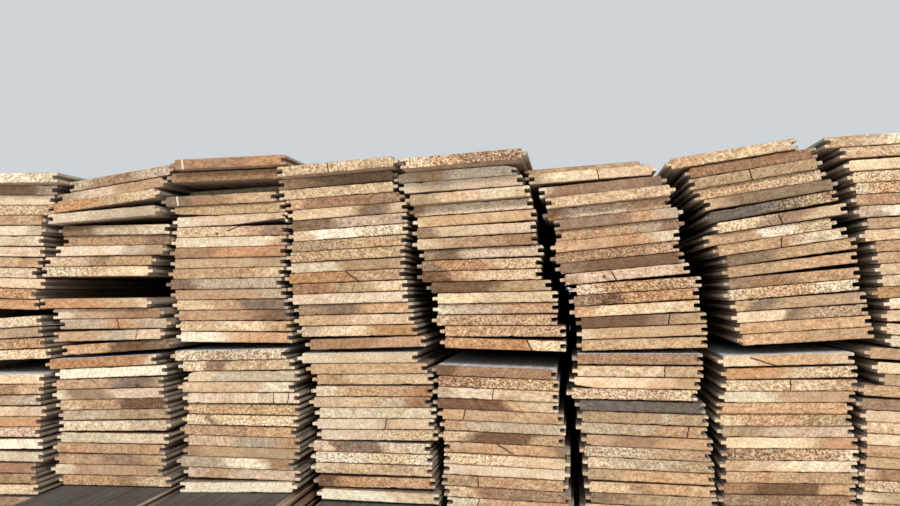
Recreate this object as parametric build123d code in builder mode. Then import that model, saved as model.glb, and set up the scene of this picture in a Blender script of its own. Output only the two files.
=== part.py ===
from build123d import *
import os

# Stack of tongue-and-groove softwood boards, millimetres.
# +Z up, boards run along Y, their front ends face -Y, X runs along the row of columns.

# ---- driving dimensions ----
board_length = 3000.0      # stock length
board_thickness = 12.2
board_width = 145.0        # overall, tongue included
tongue_length = 6.0
tongue_thickness = 4.0
groove_depth = 6.6
groove_height = 4.8
eased_edge = 0.6           # small chamfer on the four long arrises

# the stack's face stands here, so that the whole stack is centred on Y = 0
front_most = 129.6           # the furthest any front end stands ahead of the face
rear_most = 56.0            # the furthest any rear end stands past the rear face
face_y = (front_most - rear_most - board_length) / 2

lath_length = 118.0        # packing laths lie across a column
lath_width = 45.0
lath_stations = (430.0, 1500.0, 2570.0)   # distance of each lath behind the front face
strip_width = 36.0         # column 1 is packed with two long strips under its outer edge
strip_start = 22.0         # distance of a strip's ends behind the front face
strip_end = 2978.0

# Every row of a table is one board:
#   x      centre across the stack
#   z      centre height
#   tilt   degrees about its length, right-hand edge up is positive
#   tongue "L" or "R", the side the tongue is on; the groove is on the other side
#   front  how far its front end stands ahead of the stack's face
#   back   how far its rear end stands past the rear face
#   drift  how much further right its rear end lies than its front end

column_1_upper = [
    #    x       z     tilt  tongue front  back  drift
    ( -530.3, 443.73,  -0.70, "L",  24.5, -27.0, -3.0),
    ( -546.2, 431.33,  -0.70, "L",  -1.1,   2.6,  0.2),
    ( -548.8, 418.76,  -0.70, "L",  -1.0,  -6.3,  0.6),
    ( -550.1, 406.17,  -0.70, "L",   0.1,  -1.3, -1.8),
    ( -559.4, 393.69,  -0.70, "R",   0.3,   4.6, -0.3),
    ( -559.2, 380.35,  -0.08, "R",  -0.2,  -6.2,  2.9),
    ( -562.9, 367.53,  -0.29, "L",  -1.4,  -0.1,  2.4),
    ( -560.7, 354.40,  -0.75, "L",  -1.1,   3.2,  3.1),
    ( -562.7, 341.33,  -1.20, "L",   0.4,   4.0, -2.8),
    ( -570.8, 328.73,  -1.38, "L",  -0.2,  -4.9,  2.4),
    ( -559.2, 315.63,  -1.52, "L",  -0.6,  -0.7,  3.5),
    ( -570.3, 302.82,  -1.52, "L",   1.1,   6.7, -0.3),
    ( -566.7, 289.27,  -1.20, "L",   0.0,   3.2, -0.1),
    ( -561.6, 264.02,   3.94, "L",   2.4,  -4.0, -2.5),
    ( -561.9, 250.69,   3.31, "L",  -0.4,   6.8,  3.2),
    ( -557.8, 237.67,   2.76, "L",   0.4,  -0.0, -1.1),
    ( -550.9, 224.76,   2.45, "L",  -1.2,  -3.2,  2.0),
]

column_1_lower = [
    #    x       z     tilt  tongue front  back  drift
    ( -557.6, 195.70,   0.85, "L",   1.1,  -1.9,  2.0),
    ( -558.0, 182.25,   1.58, "L",   0.8,   2.7,  1.1),
    ( -561.7, 168.54,   1.87, "L",   0.8,  -1.9,  1.4),
    ( -554.9, 155.34,   1.20, "L",  -0.7,  -0.2,  1.9),
    ( -561.2, 142.61,   1.20, "L",   0.6,  -2.9,  3.1),
    ( -562.3, 129.98,   1.20, "L",   0.4,   1.1, -3.4),
    ( -558.7, 115.29,   1.31, "L",   0.1,  -3.5,  1.2),
    ( -557.8, 100.54,   0.26, "L",  -0.1,   4.4,  1.0),
    ( -566.1,  86.14,   0.87, "L",   0.9,  -2.1,  1.0),
    ( -565.8,  72.85,   1.41, "L",   0.7,   4.6, -1.0),
    ( -562.9,  59.37,   1.69, "L",   1.0,   5.2,  1.3),
]

column_1_bottom = [
    #    x       z     tilt  tongue front  back  drift
    ( -561.0,  46.05,   1.27, "L",   6.4,   8.2,  0.1),
    ( -559.3,  32.73,   0.84, "L",   6.1,  -6.0,  2.4),
    ( -559.5,  19.41,   0.42, "L",   5.3,  -0.4,  1.3),
    ( -558.3,   6.10,   0.00, "L",   2.7,   4.1, -2.3),
]

column_2_upper = [
    #    x       z     tilt  tongue front  back  drift
    ( -388.1, 443.62,   8.39, "R",   0.8,   1.1,  0.1, 138.0),
    ( -400.6, 428.85,   8.23, "R",  -0.2,   1.7,  0.0),
    ( -404.4, 414.78,   7.50, "R",  12.4,  -7.7, -0.2),
    ( -404.2, 397.99,   4.13, "R",  13.0, -13.4,  1.1),
    ( -398.2, 379.95,   0.64, "L",  -0.8,   2.6,  0.9),
    ( -393.7, 367.40,   0.64, "R",  -5.4,   3.2, -1.9),
    ( -398.9, 354.74,   0.64, "R",   2.7,  -8.7, -1.3),
    ( -414.8, 341.89,   0.69, "R",  -1.0,  -4.3, -3.3),
    ( -417.1, 329.06,   0.46, "R",   2.9,  -4.4,  0.8),
    ( -416.3, 290.24,   0.65, "R",   6.3,  -9.1,  2.8),
    ( -403.7, 277.44,   0.93, "R",  -1.5,  -1.3, -1.6),
    ( -393.8, 265.00,   0.93, "R",  -0.3,  -5.4,  2.3),
    ( -399.3, 250.97,   2.10, "R",   4.6, -11.0,  0.8),
    ( -390.8, 236.68,   4.11, "R",  -1.2,   0.6, -1.1),
]

column_2_lower = [
    #    x       z     tilt  tongue front  back  drift
    ( -412.3, 218.24,   3.25, "L",   0.2,   6.4,  2.2),
    ( -398.9, 205.85,   2.88, "L",  -0.2,   4.4,  1.0),
    ( -403.0, 192.30,   2.22, "L",  -0.4,  -5.0,  0.7),
    ( -401.9, 179.56,   2.06, "L",   0.2,   6.4,  3.3),
    ( -397.0, 167.13,   2.06, "L",   0.3,  -2.1,  2.8),
    ( -394.3, 154.62,   2.06, "L",  -1.5,  -5.5,  0.5),
    ( -391.3, 141.46,   1.56, "R",   2.3,  -6.8,  0.9),
    ( -394.6, 126.24,   0.38, "L",   1.2,  -1.7, -0.5),
    ( -400.6, 113.20,   0.03, "L",  -0.8,  -2.9,  3.3),
    ( -398.0, 100.08,   0.46, "L",  -0.4,   6.5,  2.9),
    ( -402.1,  87.45,   0.46, "L",   0.3,  -3.4,  3.4),
    ( -391.5,  74.93,   0.46, "L",   0.0,  -1.2, -1.3),
]

column_2_bottom = [
    #    x       z     tilt  tongue front  back  drift
    ( -392.6,  61.16,   0.37, "L", 118.5, -117.2, -1.5),
    ( -400.3,  47.40,   0.28, "L", 113.9, -120.9,  0.9),
    ( -399.2,  33.63,   0.18, "L", 114.8, -119.2,  2.0),
    ( -392.7,  19.87,   0.09, "R", 116.0, -124.0,  0.2),
    ( -393.4,   6.10,   0.00, "L", 118.3, -111.1,  2.0),
]

column_3_upper = [
    #    x       z     tilt  tongue front  back  drift
    ( -246.9, 458.72,   1.55, "L",  14.2, -16.8, -0.2),
    ( -256.1, 444.36,   1.43, "L",   1.5,  -2.9,  0.3),
    ( -264.3, 429.14,   3.03, "L", -60.1,  56.0,  0.7, 136.0),
    ( -262.4, 415.60,   2.07, "L",   3.7,  -8.0,  1.8),
    ( -252.2, 403.35,   2.07, "L",  -0.6,   0.5, -1.1),
    ( -249.1, 390.86,   2.07, "L",  -0.6,   0.4, -0.2),
    ( -249.5, 377.09,   1.00, "L",  -0.4,   3.4,  0.2),
    ( -250.1, 364.42,   0.95, "L",   0.6,  -5.3, -0.1),
    ( -251.2, 351.80,   0.95, "L",   1.2,   5.4,  0.1),
    ( -251.7, 339.19,   0.95, "L",  -1.5,   3.9, -0.2),
    ( -252.6, 326.58,   0.95, "L",   2.2,   1.1,  0.9),
    ( -255.4, 313.93,   0.95, "L",   1.9,   4.0, -0.8),
    ( -250.3, 301.41,   0.95, "L",  -0.3,   4.9, -2.1),
    ( -247.8, 288.58,   0.71, "L",  -0.6,   4.6, -3.0),
    ( -244.7, 276.02,   0.71, "L",   1.0,   2.7, -0.5),
    ( -243.4, 263.01,   0.34, "L",  -0.6,   3.9,  2.9),
    ( -241.4, 249.75,  -0.21, "L",   1.9,  -3.0,  0.3),
]

column_3_lower = [
    #    x       z     tilt  tongue front  back  drift
    ( -248.6, 228.51,   1.64, "L",   3.0,  -5.1, -2.4),
    ( -239.1, 216.17,   1.64, "L",   0.3,   4.4, -3.0),
    ( -232.7, 203.08,   1.15, "L",  -0.8,   4.5,  2.0),
    ( -239.6, 190.01,   0.89, "L",   0.5,  -6.6,  1.6),
    ( -231.7, 177.50,   0.86, "L",   3.4,   5.2,  1.4),
    ( -232.3, 163.75,   0.04, "L",  -1.4,   4.8, -2.0),
    ( -232.7, 150.98,  -0.09, "L",   2.4,   4.5,  1.5),
    ( -237.0, 137.82,  -0.53, "L",  -1.1,  -2.9,  2.9),
    ( -232.1, 125.17,  -0.53, "L",  -1.1,   1.5, -0.6),
    ( -232.5, 112.57,  -0.53, "L",  -1.0,   1.7, -3.2),
    ( -239.8, 100.04,  -0.53, "L",   0.8,  -3.5, -3.0),
    ( -231.6,  87.36,  -0.53, "L",  -1.3,   1.1,  1.7),
    ( -233.6,  72.33,   1.64, "R",   4.1,  -7.8, -0.5),
]

column_3_bottom = [
    #    x       z     tilt  tongue front  back  drift
    ( -235.0,  59.08,   1.31, "R", 122.4, -121.3, -0.1),
    ( -229.7,  45.84,   0.98, "L", 125.3, -125.9, -3.1),
    ( -237.3,  32.59,   0.66, "L", 129.6, -135.3,  0.9),
    ( -236.6,  19.35,   0.33, "L", 126.0, -118.9,  0.4),
    ( -232.7,   6.10,   0.00, "L", 123.4, -127.7,  0.4),
]

column_4_upper = [
    #    x       z     tilt  tongue front  back  drift
    ( -110.4, 450.28,   4.27, "R",  21.3, -16.3,  0.0),
    ( -115.9, 437.23,   4.27, "R",  -1.1,  -3.7, -0.9),
    ( -114.6, 424.03,   3.70, "R",   0.7,  -4.5,  0.6),
    ( -106.6, 411.92,   3.70, "R",   0.5,  -5.8,  1.2),
    ( -103.6, 399.48,   3.70, "L",   0.8,  -7.1,  0.0),
    ( -104.0, 386.82,   3.70, "L",  -0.8,   5.3, -0.0),
    ( -102.9, 374.11,   3.53, "L",  -0.5,   4.2, -1.3),
    ( -104.4, 361.11,   3.22, "L",   0.7,  -6.2, -1.0),
    ( -105.5, 348.28,   3.05, "L",   1.4,   2.5, -0.8),
    ( -105.7, 335.21,   2.61, "L",  -1.2,   6.6,  1.2),
    ( -106.9, 322.33,   2.36, "L",   1.0,  -5.0,  0.9),
    ( -103.2, 309.54,   2.01, "L",  -0.4,  -3.7, -1.2),
    ( -102.2, 296.70,   1.72, "L",   2.3,  -3.9, -0.8),
    (  -95.8, 284.26,   1.69, "L",  -1.1,   4.6,  1.0),
    (  -95.1, 271.26,   1.31, "L",   0.9,  -0.9,  2.5),
    (  -91.5, 258.32,   1.36, "L",   0.1,   1.3,  0.5),
    (  -81.1, 244.00,   2.13, "L",   0.7,  -1.5, -2.8),
]

column_4_lower = [
    #    x       z     tilt  tongue front  back  drift
    (  -90.9, 226.54,   1.06, "L",   0.6,  -6.0, -3.2),
    (  -79.8, 214.15,   1.06, "L",   1.2,  -0.3,  1.8),
    (  -72.8, 201.59,   1.00, "L",  -1.5,  -0.4,  0.2),
    (  -73.5, 187.85,   0.70, "L",   0.4,  -1.0, -0.2),
    (  -76.4, 174.84,   0.88, "L",  -1.2,  -4.8, -2.4),
    (  -69.2, 162.35,   0.88, "L",  -0.4,  -1.6,  1.1),
    (  -71.4, 149.71,   0.88, "L",   1.0,  -5.2, -1.6),
    (  -66.8, 136.83,   0.70, "L",  -1.0,  -3.0, -1.9),
    (  -76.0, 122.56,  -0.41, "L",  -0.1,  -6.6,  3.0),
    (  -73.2, 109.94,  -0.41, "L",   1.6,   4.3,  1.3),
    (  -73.6,  96.88,  -0.59, "L",   0.5,  -0.4,  3.1),
    (  -70.3,  81.74,   0.12, "L",  -1.1,   2.4, -1.5),
    (  -65.0,  66.63,  -1.01, "L",   3.5,   0.5, -2.4),
]

column_4_bottom = [
    #    x       z     tilt  tongue front  back  drift
    (  -66.1,  51.50,  -0.76, "L", 109.1, -118.1, -1.9),
    (  -66.2,  36.37,  -0.50, "R", 108.7, -112.2,  3.3),
    (  -72.2,  21.23,  -0.25, "L", 114.6, -118.9, -0.2),
    (  -73.2,   6.10,   0.00, "L", 109.3, -106.2,  1.5),
]

column_5_upper = [
    #    x       z     tilt  tongue front  back  drift
    (   39.1, 455.00,   3.70, "R",  34.0, -31.0,  0.0),
    (   25.7, 441.15,   3.37, "L",   3.0,  -7.2,  1.2),
    (   32.2, 428.91,   3.37, "L",   4.3,  -0.7, -0.2),
    (   41.3, 414.73,   3.89, "L",  15.4, -19.5, -0.2),
    (   43.6, 401.99,   3.59, "L",   0.8,  -1.3, -1.3),
    (   47.8, 389.25,   3.37, "L",   0.1,   6.9,  0.1),
    (   47.2, 375.84,   2.70, "L",  -0.4,  -5.7, -3.0),
    (   48.1, 362.16,   2.48, "L",   4.2,  -2.8,  3.1),
    (   55.5, 349.32,   2.28, "L",  -1.3,  -3.6, -3.1),
    (   53.2, 335.89,   1.54, "L",   1.7,  -8.0,  8.3),
    (   53.2, 323.07,   1.31, "L",  -0.3,  -2.7,  8.2),
    (   64.0, 310.32,   1.34, "L",  -1.4,   6.6,  7.3),
    (   71.9, 297.64,   1.20, "L",   3.0,  -4.1,  7.1),
    (   71.6, 284.87,   1.06, "L",  -1.2,  -2.6,  8.2),
    (   70.7, 271.64,   0.57, "L",   0.1,   5.9,  9.2),
    (   80.6, 258.76,   0.30, "L",   1.1,  -4.0, 10.8),
    (   80.8, 243.86,  -1.34, "L",   3.1,  -2.9,  6.4),
]

column_5_lower = [
    #    x       z     tilt  tongue front  back  drift
    (   70.3, 211.80,  -1.67, "L",  -0.4,   1.8,  1.6),
    (   72.8, 199.12,  -1.67, "L",   1.2,  -2.7, -0.0),
    (   72.1, 186.54,  -1.67, "L",   3.0,  -5.7, -2.7),
    (   71.9, 173.94,  -1.67, "L",  -0.6,  -5.8,  1.9),
    (   77.8, 161.16,  -1.67, "L",   1.0,  -2.6, -1.0),
    (   80.1, 148.49,  -1.67, "L",  -1.3,  -3.6, -2.9),
    (   78.6, 135.93,  -1.67, "L",  -0.2,   1.1, -1.8),
    (   84.9, 123.14,  -1.67, "R",  -1.3,   2.8, -3.2),
    (   85.0, 110.52,  -1.67, "R",   1.1,  -4.8, -0.9),
    (   84.7,  97.93,  -1.67, "R",  -1.2,  -1.1, -1.3),
    (   82.7,  85.38,  -1.67, "R",   0.8,   0.8,  2.8),
    (   85.4,  72.69,  -1.67, "R",   0.5,   3.6,  0.5),
    (   88.7,  59.99,  -1.67, "R",  -0.2,   4.4,  1.1),
]

column_5_bottom = [
    #    x       z     tilt  tongue front  back  drift
    (   86.3,  46.52,  -1.26, "R",   3.4,   4.1,  1.4),
    (   87.0,  33.04,  -0.84, "L",   2.3,   5.6, -0.8),
    (   83.8,  19.57,  -0.42, "L",   4.9,  -7.8, -2.3),
    (   83.4,   6.10,   0.00, "R",   5.3,   3.2, -1.5),
]

column_6_upper = [
    #    x       z     tilt  tongue front  back  drift
    (  175.8, 450.52,   3.83, "R", -56.3,  53.2,  0.4),
    (  183.9, 438.39,   3.85, "R",   2.6,  -9.9, -2.6),
    (  195.4, 424.31,   5.18, "R",  -0.4,   5.0,  3.1),
    (  203.4, 411.70,   5.62, "R",  14.3, -16.4, -0.2),
    (  199.4, 398.64,   5.63, "L",  -0.4,  -2.4, -1.4),
    (  212.5, 387.25,   5.63, "R",   4.3,   1.0,  0.6),
    (  214.4, 374.78,   5.63, "R",  -1.2,   0.4, -0.9),
    (  208.3, 361.52,   5.63, "L",   3.6,  -3.5,  1.2),
    (  207.8, 348.81,   5.63, "L",   0.9,  -5.3, -0.5),
    (  213.6, 336.52,   5.41, "L",   1.2,  -0.5, -1.7),
    (  218.9, 324.30,   5.46, "L",   2.8,   1.0, -2.8),
    (  232.1, 310.89,   3.92, "L",   0.1,   6.6, -7.5),
    (  229.2, 298.07,   3.92, "L",  -1.2,   4.4, -4.5),
    (  229.8, 284.82,   3.39, "L",   1.7,   4.0,  2.9),
    (  237.1, 271.86,   2.83, "L",   0.2,  -0.3,  6.1),
    (  237.8, 258.92,   2.57, "L",  -0.3,  -4.0, 15.0),
    (  237.6, 245.52,   2.01, "L",  -0.9,   0.9,  8.0),
]

column_6_lower = [
    #    x       z     tilt  tongue front  back  drift
    (  232.5, 228.52,   0.33, "L",   0.8,  -3.6, -15.0),
    (  232.7, 214.52,   0.13, "L",   1.2,   5.0,  2.4),
    (  229.1, 201.67,  -0.06, "L",   3.0,  -0.1, -0.7),
    (  225.8, 188.77,  -0.32, "L",   2.9,   1.0, -0.1),
    (  235.2, 174.95,  -0.76, "L",  -1.4,  -4.6, -2.8),
    (  237.9, 161.89,  -1.06, "L",   0.7,   5.6, -2.1),
    (  236.3, 148.80,  -1.44, "L",   0.9,  -2.5,  1.3),
    (  242.2, 135.40,  -1.28, "L",   1.1,   1.7,  2.1),
    (  240.2, 122.84,  -1.28, "L",  -0.4,  -6.9,  0.1),
    (  243.6, 110.16,  -1.28, "L",   0.3,  -4.4, -0.8),
    (  243.6,  97.49,  -1.20, "L",   1.5,  -8.4, -1.3),
    (  245.3,  83.11,  -1.02, "L",  -0.4,  -0.3,  0.6),
    (  246.9,  70.47,  -1.03, "L",  -0.3,   6.8,  0.4),
]

column_6_bottom = [
    #    x       z     tilt  tongue front  back  drift
    (  240.4,  57.59,  -0.82, "L",  -3.7,   3.5,  1.2),
    (  246.7,  44.73,  -0.62, "L",   0.1,   5.4, -1.0),
    (  238.8,  31.85,  -0.41, "R",  -3.7,   3.2,  0.2),
    (  244.4,  18.97,  -0.21, "L",  -3.6,  -7.6, -2.9),
    (  245.7,   6.10,   0.00, "L",  -6.4,   1.4,  1.8),
]

column_7_upper = [
    #    x       z     tilt  tongue front  back  drift
    (  337.5, 458.35,   8.61, "L",   3.6,  -5.4,  1.2),
    (  359.0, 448.22,   8.75, "L",  -0.7,   3.0, -1.2),
    (  362.8, 435.50,   9.08, "R",   6.8,  -3.0,  1.3),
    (  368.4, 423.64,   9.08, "R",   1.2,   2.6,  0.4),
    (  379.7, 412.69,   9.08, "R",   2.7,  -0.2, -0.8),
    (  380.4, 398.79,   9.77, "L",   0.1,   5.5, -1.8),
    (  388.1, 385.35,   8.63, "L",   4.4,  -2.1, -0.7),
    (  378.9, 370.73,   8.15, "R",  -1.5,  -1.5, -2.3),
    (  388.5, 359.36,   8.15, "L",   2.5,   3.8,  0.5),
    (  399.0, 348.13,   8.15, "L",   0.3,  -1.6, -0.4),
    (  399.1, 333.81,   6.93, "L",   0.6,   0.7,  1.5),
    (  401.2, 318.99,   5.16, "L",  -0.4,   5.4, -2.0),
    (  399.9, 306.22,   5.16, "L",   1.4,  -5.1,  0.9),
    (  407.1, 293.10,   4.38, "L",   1.2,  -4.7,  0.9),
    (  408.6, 280.06,   4.03, "L",   0.8,  -3.9, -3.1),
    (  411.9, 267.62,   4.00, "L",   0.2,   4.6,  2.7),
    (  414.5, 255.10,   3.95, "L",   0.7,  -1.2, -0.5),
]

column_7_lower = [
    #    x       z     tilt  tongue front  back  drift
    (  393.0, 229.60,   2.23, "L",   3.1,   3.0, -1.4),
    (  397.0, 214.99,   1.96, "L",  -0.7,   1.5,  3.3),
    (  396.2, 201.21,   1.05, "L",   1.1,  -8.4, -2.7),
    (  394.2, 188.50,   1.00, "L",   0.2,   1.4, -2.2),
    (  391.5, 175.85,   1.00, "R",  -0.9,   1.3,  1.0),
    (  388.9, 163.20,   0.99, "L",   3.6,   0.5, -3.1),
    (  392.1, 150.60,   0.96, "L",   0.0,   4.7,  3.2),
    (  395.9, 137.97,   0.88, "L",  -0.5,   4.9,  1.0),
    (  396.4, 125.38,   0.88, "L",   1.3,  -3.8,  1.4),
    (  394.5, 112.75,   0.88, "L",   1.0,  -0.3, -2.8),
    (  395.2, 100.16,   0.88, "L",   1.1,  -6.6, -2.9),
    (  393.1,  87.52,   0.88, "L",  -1.0,   1.6, -0.4),
    (  392.5,  74.91,   0.88, "L",   0.8,   3.3,  0.1),
    (  393.1,  62.32,   0.88, "L",   0.9,   3.0,  0.2),
]

column_7_bottom = [
    #    x       z     tilt  tongue front  back  drift
    (  392.0,  48.27,   0.66, "L",   8.4,   2.3,  0.5),
    (  392.7,  34.20,   0.44, "L",   5.8,  -7.1, -3.0),
    (  391.6,  20.15,   0.22, "R",   0.1,  -2.3, -0.3),
    (  396.6,   6.10,   0.00, "L",   7.5,   4.4, -2.9),
]

column_8_upper = [
    #    x       z     tilt  tongue front  back  drift
    (  510.0, 472.54,   2.64, "R",   3.7,  -3.0, -0.9),
    (  526.4, 460.62,   2.68, "R",   1.9,  -1.3, -0.9),
    (  529.8, 446.11,   2.87, "L",   3.6,  -2.8,  3.2),
    (  534.2, 433.28,   2.60, "L",   1.3,  -6.0,  0.7),
    (  537.2, 420.48,   2.27, "L",   0.7,  -2.9, -1.1),
    (  538.0, 407.85,   2.31, "L",  -0.1,  -2.0,  1.7),
    (  540.2, 395.04,   2.54, "L",   1.3,  -1.7, -1.5),
    (  548.8, 382.37,   2.93, "L",   0.0,   2.8,  2.0),
    (  545.3, 369.32,   3.14, "L",   2.2,  -4.7, -1.1),
    (  556.9, 357.34,   3.14, "L",   1.0,   0.3, -3.1),
    (  558.7, 344.82,   3.14, "L",  -0.2,  -3.7,  1.2),
    (  561.2, 332.31,   3.14, "L",   0.7,  -5.0, -2.8),
    (  563.6, 319.78,   3.14, "L",  -0.1,   6.8,  0.3),
    (  558.3, 306.87,   3.14, "L",  -0.3,   6.1, -2.9),
    (  570.1, 294.89,   3.14, "L",  -0.4,   4.4, -3.5),
    (  567.1, 280.36,   1.98, "L",   0.8,  -1.9, -3.4),
    (  566.8, 261.84,  -1.96, "L",  -0.7,  -0.6, -0.8),
    (  570.6, 247.36,  -3.06, "L",   0.1,  -6.3, -2.0),
]

column_8_lower = [
    #    x       z     tilt  tongue front  back  drift
    (  548.0, 235.14,  -2.60, "L",   3.4,  -2.6, -0.2),
    (  556.8, 218.59,  -2.83, "L",  -1.2,  -3.1,  3.2),
    (  563.5, 205.62,  -2.83, "L",   0.6,   0.1, -3.1),
    (  541.8, 194.06,  -2.83, "L",  -0.3,   3.9, -0.5),
    (  539.9, 180.19,  -1.77, "L",   0.3,   5.6,  1.0),
    (  543.4, 167.48,  -1.77, "L",   0.4,  -6.5, -3.3),
    (  544.2, 154.85,  -1.77, "L",   0.8,  -1.2,  2.6),
    (  544.0, 142.25,  -1.77, "L",   1.0,   5.8, -0.9),
    (  543.8, 129.65,  -1.77, "L",   1.5,   3.6,  2.7),
    (  543.5, 117.05,  -1.77, "L",  -1.1,   3.9, -0.5),
    (  540.7, 104.53,  -1.77, "L",   1.4,   6.9, -2.0),
    (  541.2,  91.91,  -1.77, "L",  -0.2,  -3.2, -0.2),
    (  538.7,  79.38,  -1.77, "L",  -0.6,   2.3, -0.4),
    (  538.6,  66.78,  -1.77, "L",  -1.0,  -0.6, -0.1),
]

column_8_bottom = [
    #    x       z     tilt  tongue front  back  drift
    (  537.3,  51.59,  -1.33, "L",   3.6,   7.2,  0.4),
    (  538.0,  36.42,  -0.89, "L",  -0.9,  -8.7,  2.3),
    (  539.7,  21.27,  -0.44, "L",   0.4,   1.8, -2.5),
    (  545.3,   6.10,   0.00, "L",  -2.8,   7.6,  3.1),
]

# Packing laths: x, z, tilt, height
lath_rows = [
    ( -416.7, 309.65,  0.56, 25.7),
    ( -245.0, 239.19,  0.71,  6.4),
    (   75.5, 227.82, -1.51, 19.1),
    (  403.8, 242.18,  3.09,  9.7),
]

# Packing strips: x, z, tilt, height
strip_rows = [
    ( -607.0, 274.63,  3.94, 14.5),
    ( -607.0, 208.32,  0.85, 13.8),
]


def profile(width, tongue):
    """Corner points of a board's end, counter-clockwise, tongue on the +u side for "R"."""
    h = board_thickness / 2
    e = eased_edge
    body = width / 2 - tongue_length
    pts = [
        (-width / 2 + e, -h), (body - e, -h), (body, -h + e),
        (body, -tongue_thickness / 2), (width / 2, -tongue_thickness / 2 + 0.4),
        (width / 2, tongue_thickness / 2 - 0.4), (body, tongue_thickness / 2),
        (body, h - e), (body - e, h), (-width / 2 + e, h), (-width / 2, h - e),
        (-width / 2, groove_height / 2), (-width / 2 + groove_depth, groove_height / 2 - 0.3),
        (-width / 2 + groove_depth, -groove_height / 2 + 0.3), (-width / 2, -groove_height / 2),
        (-width / 2, -h + e),
    ]
    if tongue == "L":
        pts = [(-u, v) for u, v in reversed(pts)]
    return pts


def end_plane(row):
    """Plane of a board's front end; its normal runs back along the board."""
    x, z, tilt, tongue, front, back, drift = row[:7]
    along = Vector(drift, board_length + front + back, 0).normalized()
    across = Vector(1, 0, 0).rotate(Axis.Y, -tilt)
    across = (across - along * across.dot(along)).normalized()
    return Plane(origin=(x, face_y - front, z), x_dir=across, z_dir=along)


def board_size(row):
    width = row[7] if len(row) > 7 else board_width
    return width, board_length + row[4] + row[5]


os.makedirs("parts", exist_ok=True)

with BuildPart() as column_1_upper_boards:
    for row in column_1_upper:
        width, length = board_size(row)
        with BuildSketch(end_plane(row)):
            with BuildLine():
                Polyline(*profile(width, row[3]), close=True)
            make_face()
        extrude(amount=length)
column_1_upper_boards.part.label = "column_1_upper_boards"
export_step(column_1_upper_boards.part, "parts/column_1_upper_boards.step")

with BuildPart() as column_1_lower_boards:
    for row in column_1_lower:
        width, length = board_size(row)
        with BuildSketch(end_plane(row)):
            with BuildLine():
                Polyline(*profile(width, row[3]), close=True)
            make_face()
        extrude(amount=length)
column_1_lower_boards.part.label = "column_1_lower_boards"
export_step(column_1_lower_boards.part, "parts/column_1_lower_boards.step")

with BuildPart() as column_1_bottom_boards:
    for row in column_1_bottom:
        width, length = board_size(row)
        with BuildSketch(end_plane(row)):
            with BuildLine():
                Polyline(*profile(width, row[3]), close=True)
            make_face()
        extrude(amount=length)
column_1_bottom_boards.part.label = "column_1_bottom_boards"
export_step(column_1_bottom_boards.part, "parts/column_1_bottom_boards.step")

with BuildPart() as column_2_upper_boards:
    for row in column_2_upper:
        width, length = board_size(row)
        with BuildSketch(end_plane(row)):
            with BuildLine():
                Polyline(*profile(width, row[3]), close=True)
            make_face()
        extrude(amount=length)
column_2_upper_boards.part.label = "column_2_upper_boards"
export_step(column_2_upper_boards.part, "parts/column_2_upper_boards.step")

with BuildPart() as column_2_lower_boards:
    for row in column_2_lower:
        width, length = board_size(row)
        with BuildSketch(end_plane(row)):
            with BuildLine():
                Polyline(*profile(width, row[3]), close=True)
            make_face()
        extrude(amount=length)
column_2_lower_boards.part.label = "column_2_lower_boards"
export_step(column_2_lower_boards.part, "parts/column_2_lower_boards.step")

with BuildPart() as column_2_bottom_boards:
    for row in column_2_bottom:
        width, length = board_size(row)
        with BuildSketch(end_plane(row)):
            with BuildLine():
                Polyline(*profile(width, row[3]), close=True)
            make_face()
        extrude(amount=length)
column_2_bottom_boards.part.label = "column_2_bottom_boards"
export_step(column_2_bottom_boards.part, "parts/column_2_bottom_boards.step")

with BuildPart() as column_3_upper_boards:
    for row in column_3_upper:
        width, length = board_size(row)
        with BuildSketch(end_plane(row)):
            with BuildLine():
                Polyline(*profile(width, row[3]), close=True)
            make_face()
        extrude(amount=length)
column_3_upper_boards.part.label = "column_3_upper_boards"
export_step(column_3_upper_boards.part, "parts/column_3_upper_boards.step")

with BuildPart() as column_3_lower_boards:
    for row in column_3_lower:
        width, length = board_size(row)
        with BuildSketch(end_plane(row)):
            with BuildLine():
                Polyline(*profile(width, row[3]), close=True)
            make_face()
        extrude(amount=length)
column_3_lower_boards.part.label = "column_3_lower_boards"
export_step(column_3_lower_boards.part, "parts/column_3_lower_boards.step")

with BuildPart() as column_3_bottom_boards:
    for row in column_3_bottom:
        width, length = board_size(row)
        with BuildSketch(end_plane(row)):
            with BuildLine():
                Polyline(*profile(width, row[3]), close=True)
            make_face()
        extrude(amount=length)
column_3_bottom_boards.part.label = "column_3_bottom_boards"
export_step(column_3_bottom_boards.part, "parts/column_3_bottom_boards.step")

with BuildPart() as column_4_upper_boards:
    for row in column_4_upper:
        width, length = board_size(row)
        with BuildSketch(end_plane(row)):
            with BuildLine():
                Polyline(*profile(width, row[3]), close=True)
            make_face()
        extrude(amount=length)
column_4_upper_boards.part.label = "column_4_upper_boards"
export_step(column_4_upper_boards.part, "parts/column_4_upper_boards.step")

with BuildPart() as column_4_lower_boards:
    for row in column_4_lower:
        width, length = board_size(row)
        with BuildSketch(end_plane(row)):
            with BuildLine():
                Polyline(*profile(width, row[3]), close=True)
            make_face()
        extrude(amount=length)
column_4_lower_boards.part.label = "column_4_lower_boards"
export_step(column_4_lower_boards.part, "parts/column_4_lower_boards.step")

with BuildPart() as column_4_bottom_boards:
    for row in column_4_bottom:
        width, length = board_size(row)
        with BuildSketch(end_plane(row)):
            with BuildLine():
                Polyline(*profile(width, row[3]), close=True)
            make_face()
        extrude(amount=length)
column_4_bottom_boards.part.label = "column_4_bottom_boards"
export_step(column_4_bottom_boards.part, "parts/column_4_bottom_boards.step")

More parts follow.
